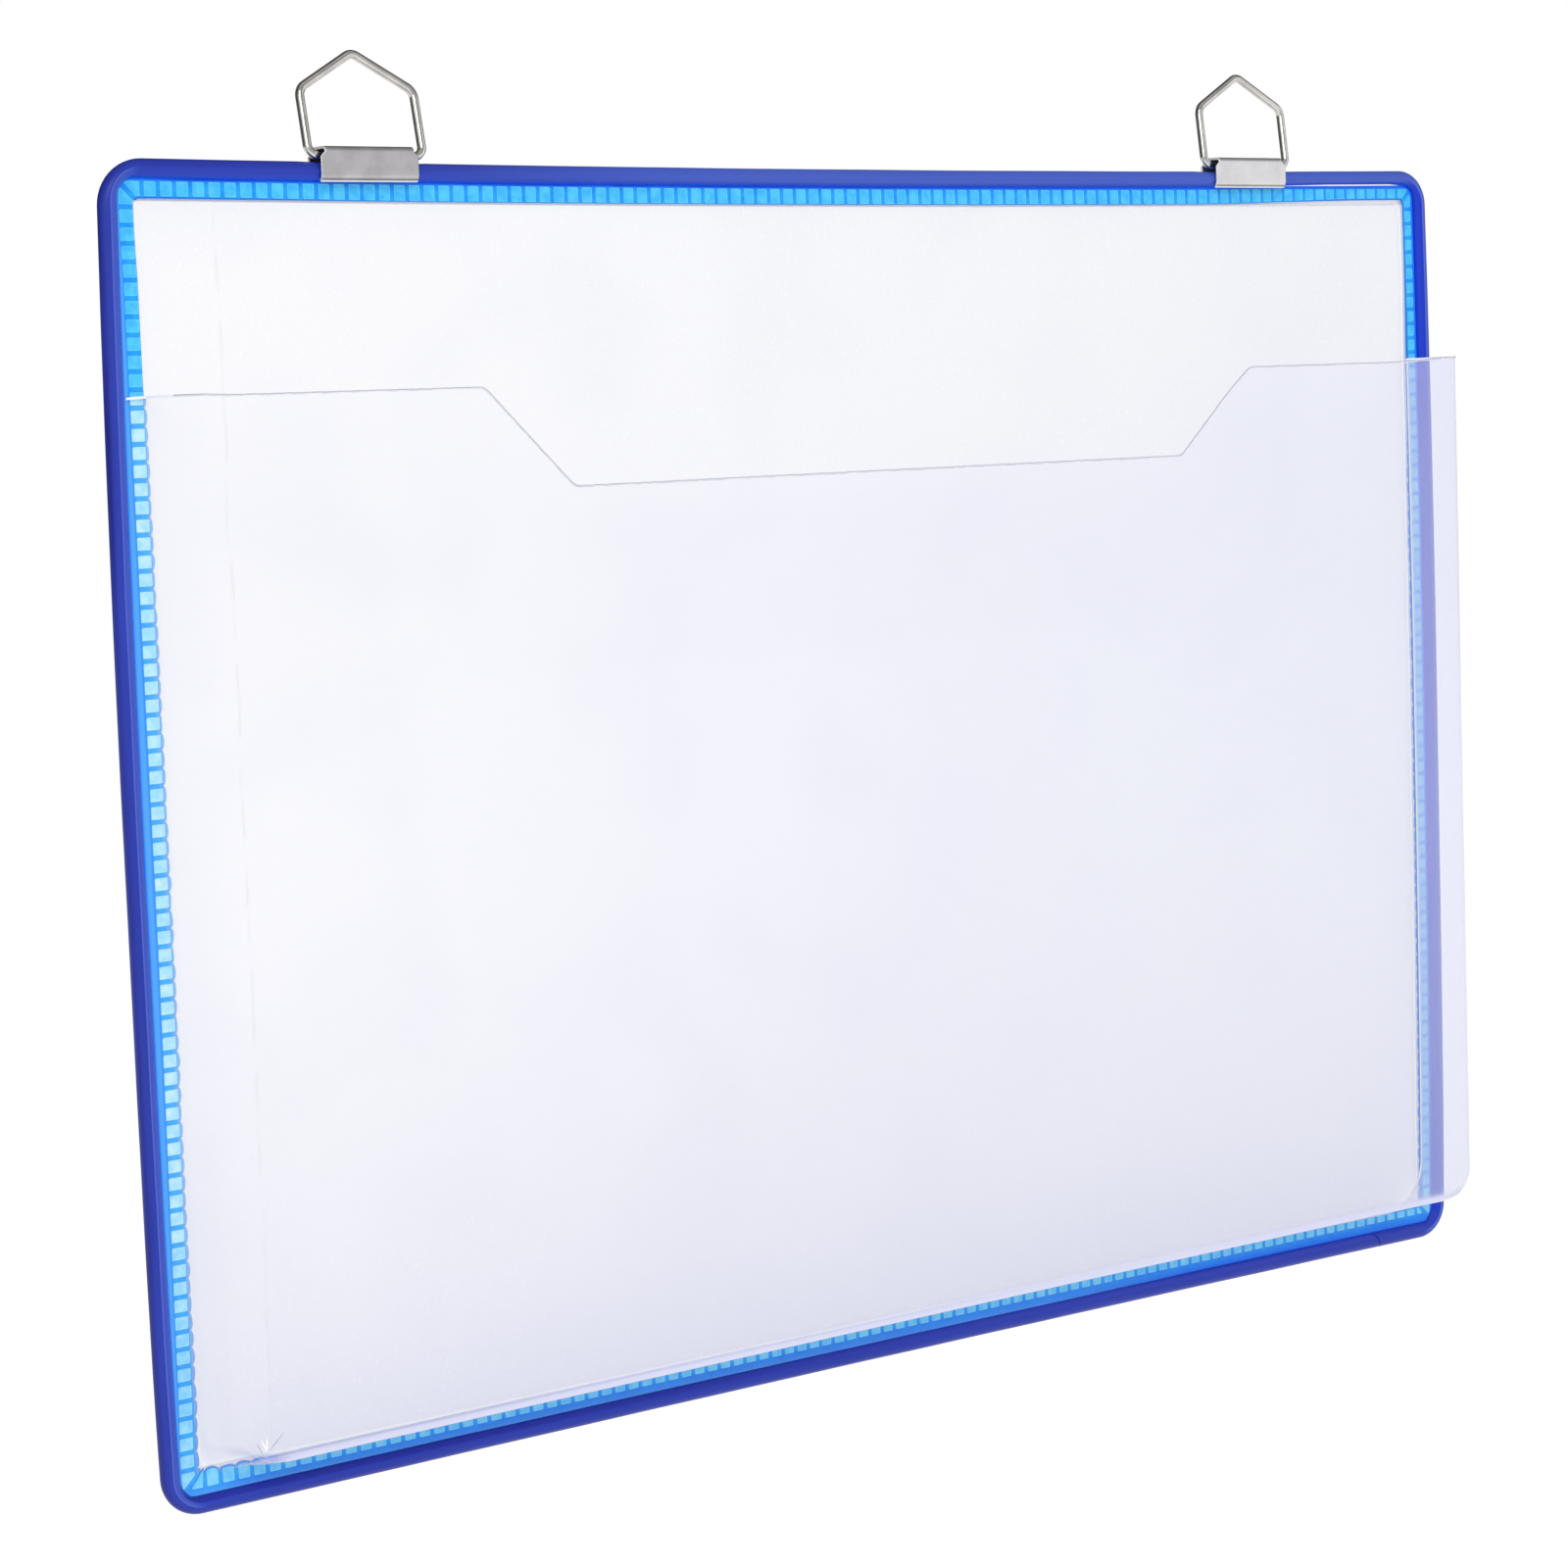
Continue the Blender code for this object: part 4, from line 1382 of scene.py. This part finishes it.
def make_ring(name, x, lean, body, node, material):
    """A bent wire ring, butted in the middle of its bar."""
    half = [(FIT_GAP / 2, 0), (RING_HALF_WIDTH, 0), (RING_HALF_WIDTH, RING_SHOULDER_HEIGHT)]
    corners = half + [(0, RING_HEIGHT)] + [(-across, up) for across, up in reversed(half)]
    path = rounded_path(corners, RING_RADII, 14)
    tilt = Matrix.Rotation(-lean, 3, "X")
    seat = Vector((x, 0, bar_height()))
    mesh = bmesh.new()
    rows = []
    for index, point in enumerate(path):
        ahead = (path[min(index + 1, len(path) - 1)] - path[max(index - 1, 0)]).normalized()
        side = Vector((ahead.y, -ahead.x))
        row = []
        for step in range(RING_STEPS):
            angle = math.tau * step / RING_STEPS
            place = point + side * (WIRE_REACH * math.cos(angle))
            corner = Vector((place.x, WIRE_REACH * math.sin(angle), place.y))
            row.append(mesh.verts.new(seat + tilt @ corner))
        rows.append(row)
    join_rows(mesh, rows, row_closes=True)
    mesh.faces.new(rows[0])
    mesh.faces.new(rows[-1])
    return finish_piece(mesh, name, [material], body, node)


# ---------------------------------------------------------------- studio


def light_surroundings():
    """Even white surroundings. Shiny metal also sees darker cloth hung behind the object."""
    world = bpy.data.worlds.new("studio")
    bpy.context.scene.world = world
    world.use_nodes = True
    world.node_tree.nodes.clear()
    room = Finish(world.node_tree)
    across, forward, up = room.parts(room.node("TexCoord", output="Generated"))
    behind = forward.ramp(-0.45, 0.10)
    lit = 0.46 + 0.55 * across.ramp(0.1, 0.9) + 0.5 * (1 - across.ramp(-0.9, -0.2))
    above = up.ramp(0.32, 0.45)
    overhead = 0.32 + 0.3 * up.ramp(0.72, 0.90)
    mirrored = (lit * (1 - above) + overhead * above) * (1 - behind) + 0.10 * behind
    path = room.node("LightPath").socket.node
    shown = Reading(room, path.outputs["Is Camera Ray"])
    shown = (shown + Reading(room, path.outputs["Is Transmission Ray"])).held()
    glossy = Reading(room, path.outputs["Is Glossy Ray"])
    strength = 0.86 * (1 - glossy) + mirrored * glossy
    strength = strength * (1 - shown) + shown
    light = room.node("Background", values={"Color": (1, 1, 1, 1), "Strength": strength})
    output = world.node_tree.nodes.new("ShaderNodeOutputWorld")
    world.node_tree.links.new(light.socket, output.inputs["Surface"])


def add_lamp(name, place, aim, size, power):
    """A square soft lamp."""
    data = bpy.data.lights.new(name, "AREA")
    data.energy = power
    data.size = size
    lamp = bpy.data.objects.new(name, data)
    lamp.location = place
    lamp.rotation_euler = (Vector(aim) - Vector(place)).to_track_quat("-Z", "Y").to_euler()
    bpy.context.collection.objects.link(lamp)


def lay_floor():
    """A wide pale floor, well below the hanging pocket."""
    finish = new_finish("pale_floor", Roughness=0.9)
    dust = finish.cloud(finish.place(), 8, 3)
    pale = finish.blended(dust, tone(250, 250, 250), tone(254, 254, 254))
    seen = finish.node("LightPath", output="Is Camera Ray")
    finish.fill(finish.shader, {
        "Base Color": pale,
        "Emission Color": finish.blended(seen, (0, 0, 0, 1), (*[FLOOR_GLOW] * 3, 1)),
        "Emission Strength": 1.0,
    })
    mesh = bmesh.new()
    rows = []
    places = evenly(-FLOOR_HALF_SIZE, FLOOR_HALF_SIZE, 5)
    for y in places:
        rows.append([mesh.verts.new((x, y, FLOOR_HEIGHT)) for x in places])
    join_rows(mesh, rows)
    data = bpy.data.meshes.new("floor")
    mesh.to_mesh(data)
    mesh.free()
    data.materials.append(finish.material)
    floor = bpy.data.objects.new("floor", data)
    bpy.context.collection.objects.link(floor)


def set_camera():
    """The photograph's viewpoint, to the left of the object and slightly above its middle."""
    data = bpy.data.cameras.new("camera")
    data.lens = CAMERA_LENS
    camera = bpy.data.objects.new("camera", data)
    camera.location = CAMERA_PLACE
    camera.rotation_euler = Euler([math.radians(turn) for turn in CAMERA_TURN])
    bpy.context.collection.objects.link(camera)
    bpy.context.scene.camera = camera


wire_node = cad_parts["wire_frame"]
wire_node.data.materials.clear()
wire_node.data.materials.append(drawn_wire_finish())
make_piping([rim_finish(), flange_finish()])
make_back_sheet(frosted_finish())
make_front_pocket([
    clear_film_finish(),
    film_edge_finish("clear_film_cut_edge", (178, 176, 192), 0.85),
    film_edge_finish("clear_film_edge_highlight", (252, 252, 255), 0.6),
])
sheet_steel = [clip_finish(), sheared_highlight_finish()]
ring_wire = ring_finish()
make_clip("dressed_clip_left", LEFT_CLIP_X, "clip_left", sheet_steel)
make_clip("dressed_clip_right", RIGHT_CLIP_X, "clip_right", sheet_steel)
left_ring_x = LEFT_CLIP_X + RING_SLIDE
right_ring_x = RIGHT_CLIP_X + RING_SLIDE
make_ring("bent_ring_left", left_ring_x, RING_LEAN_LEFT, "left_ring", "ring_left", ring_wire)
make_ring("bent_ring_right", right_ring_x, RING_LEAN_RIGHT, "right_ring", "ring_right", ring_wire)
light_surroundings()
add_lamp("key_softbox", LAMP_PLACE, LAMP_AIM, LAMP_SIZE, LAMP_POWER)
lay_floor()
set_camera()
bpy.context.scene.view_settings.view_transform = "Standard"
bpy.context.scene.cycles.transparent_max_bounces = 32
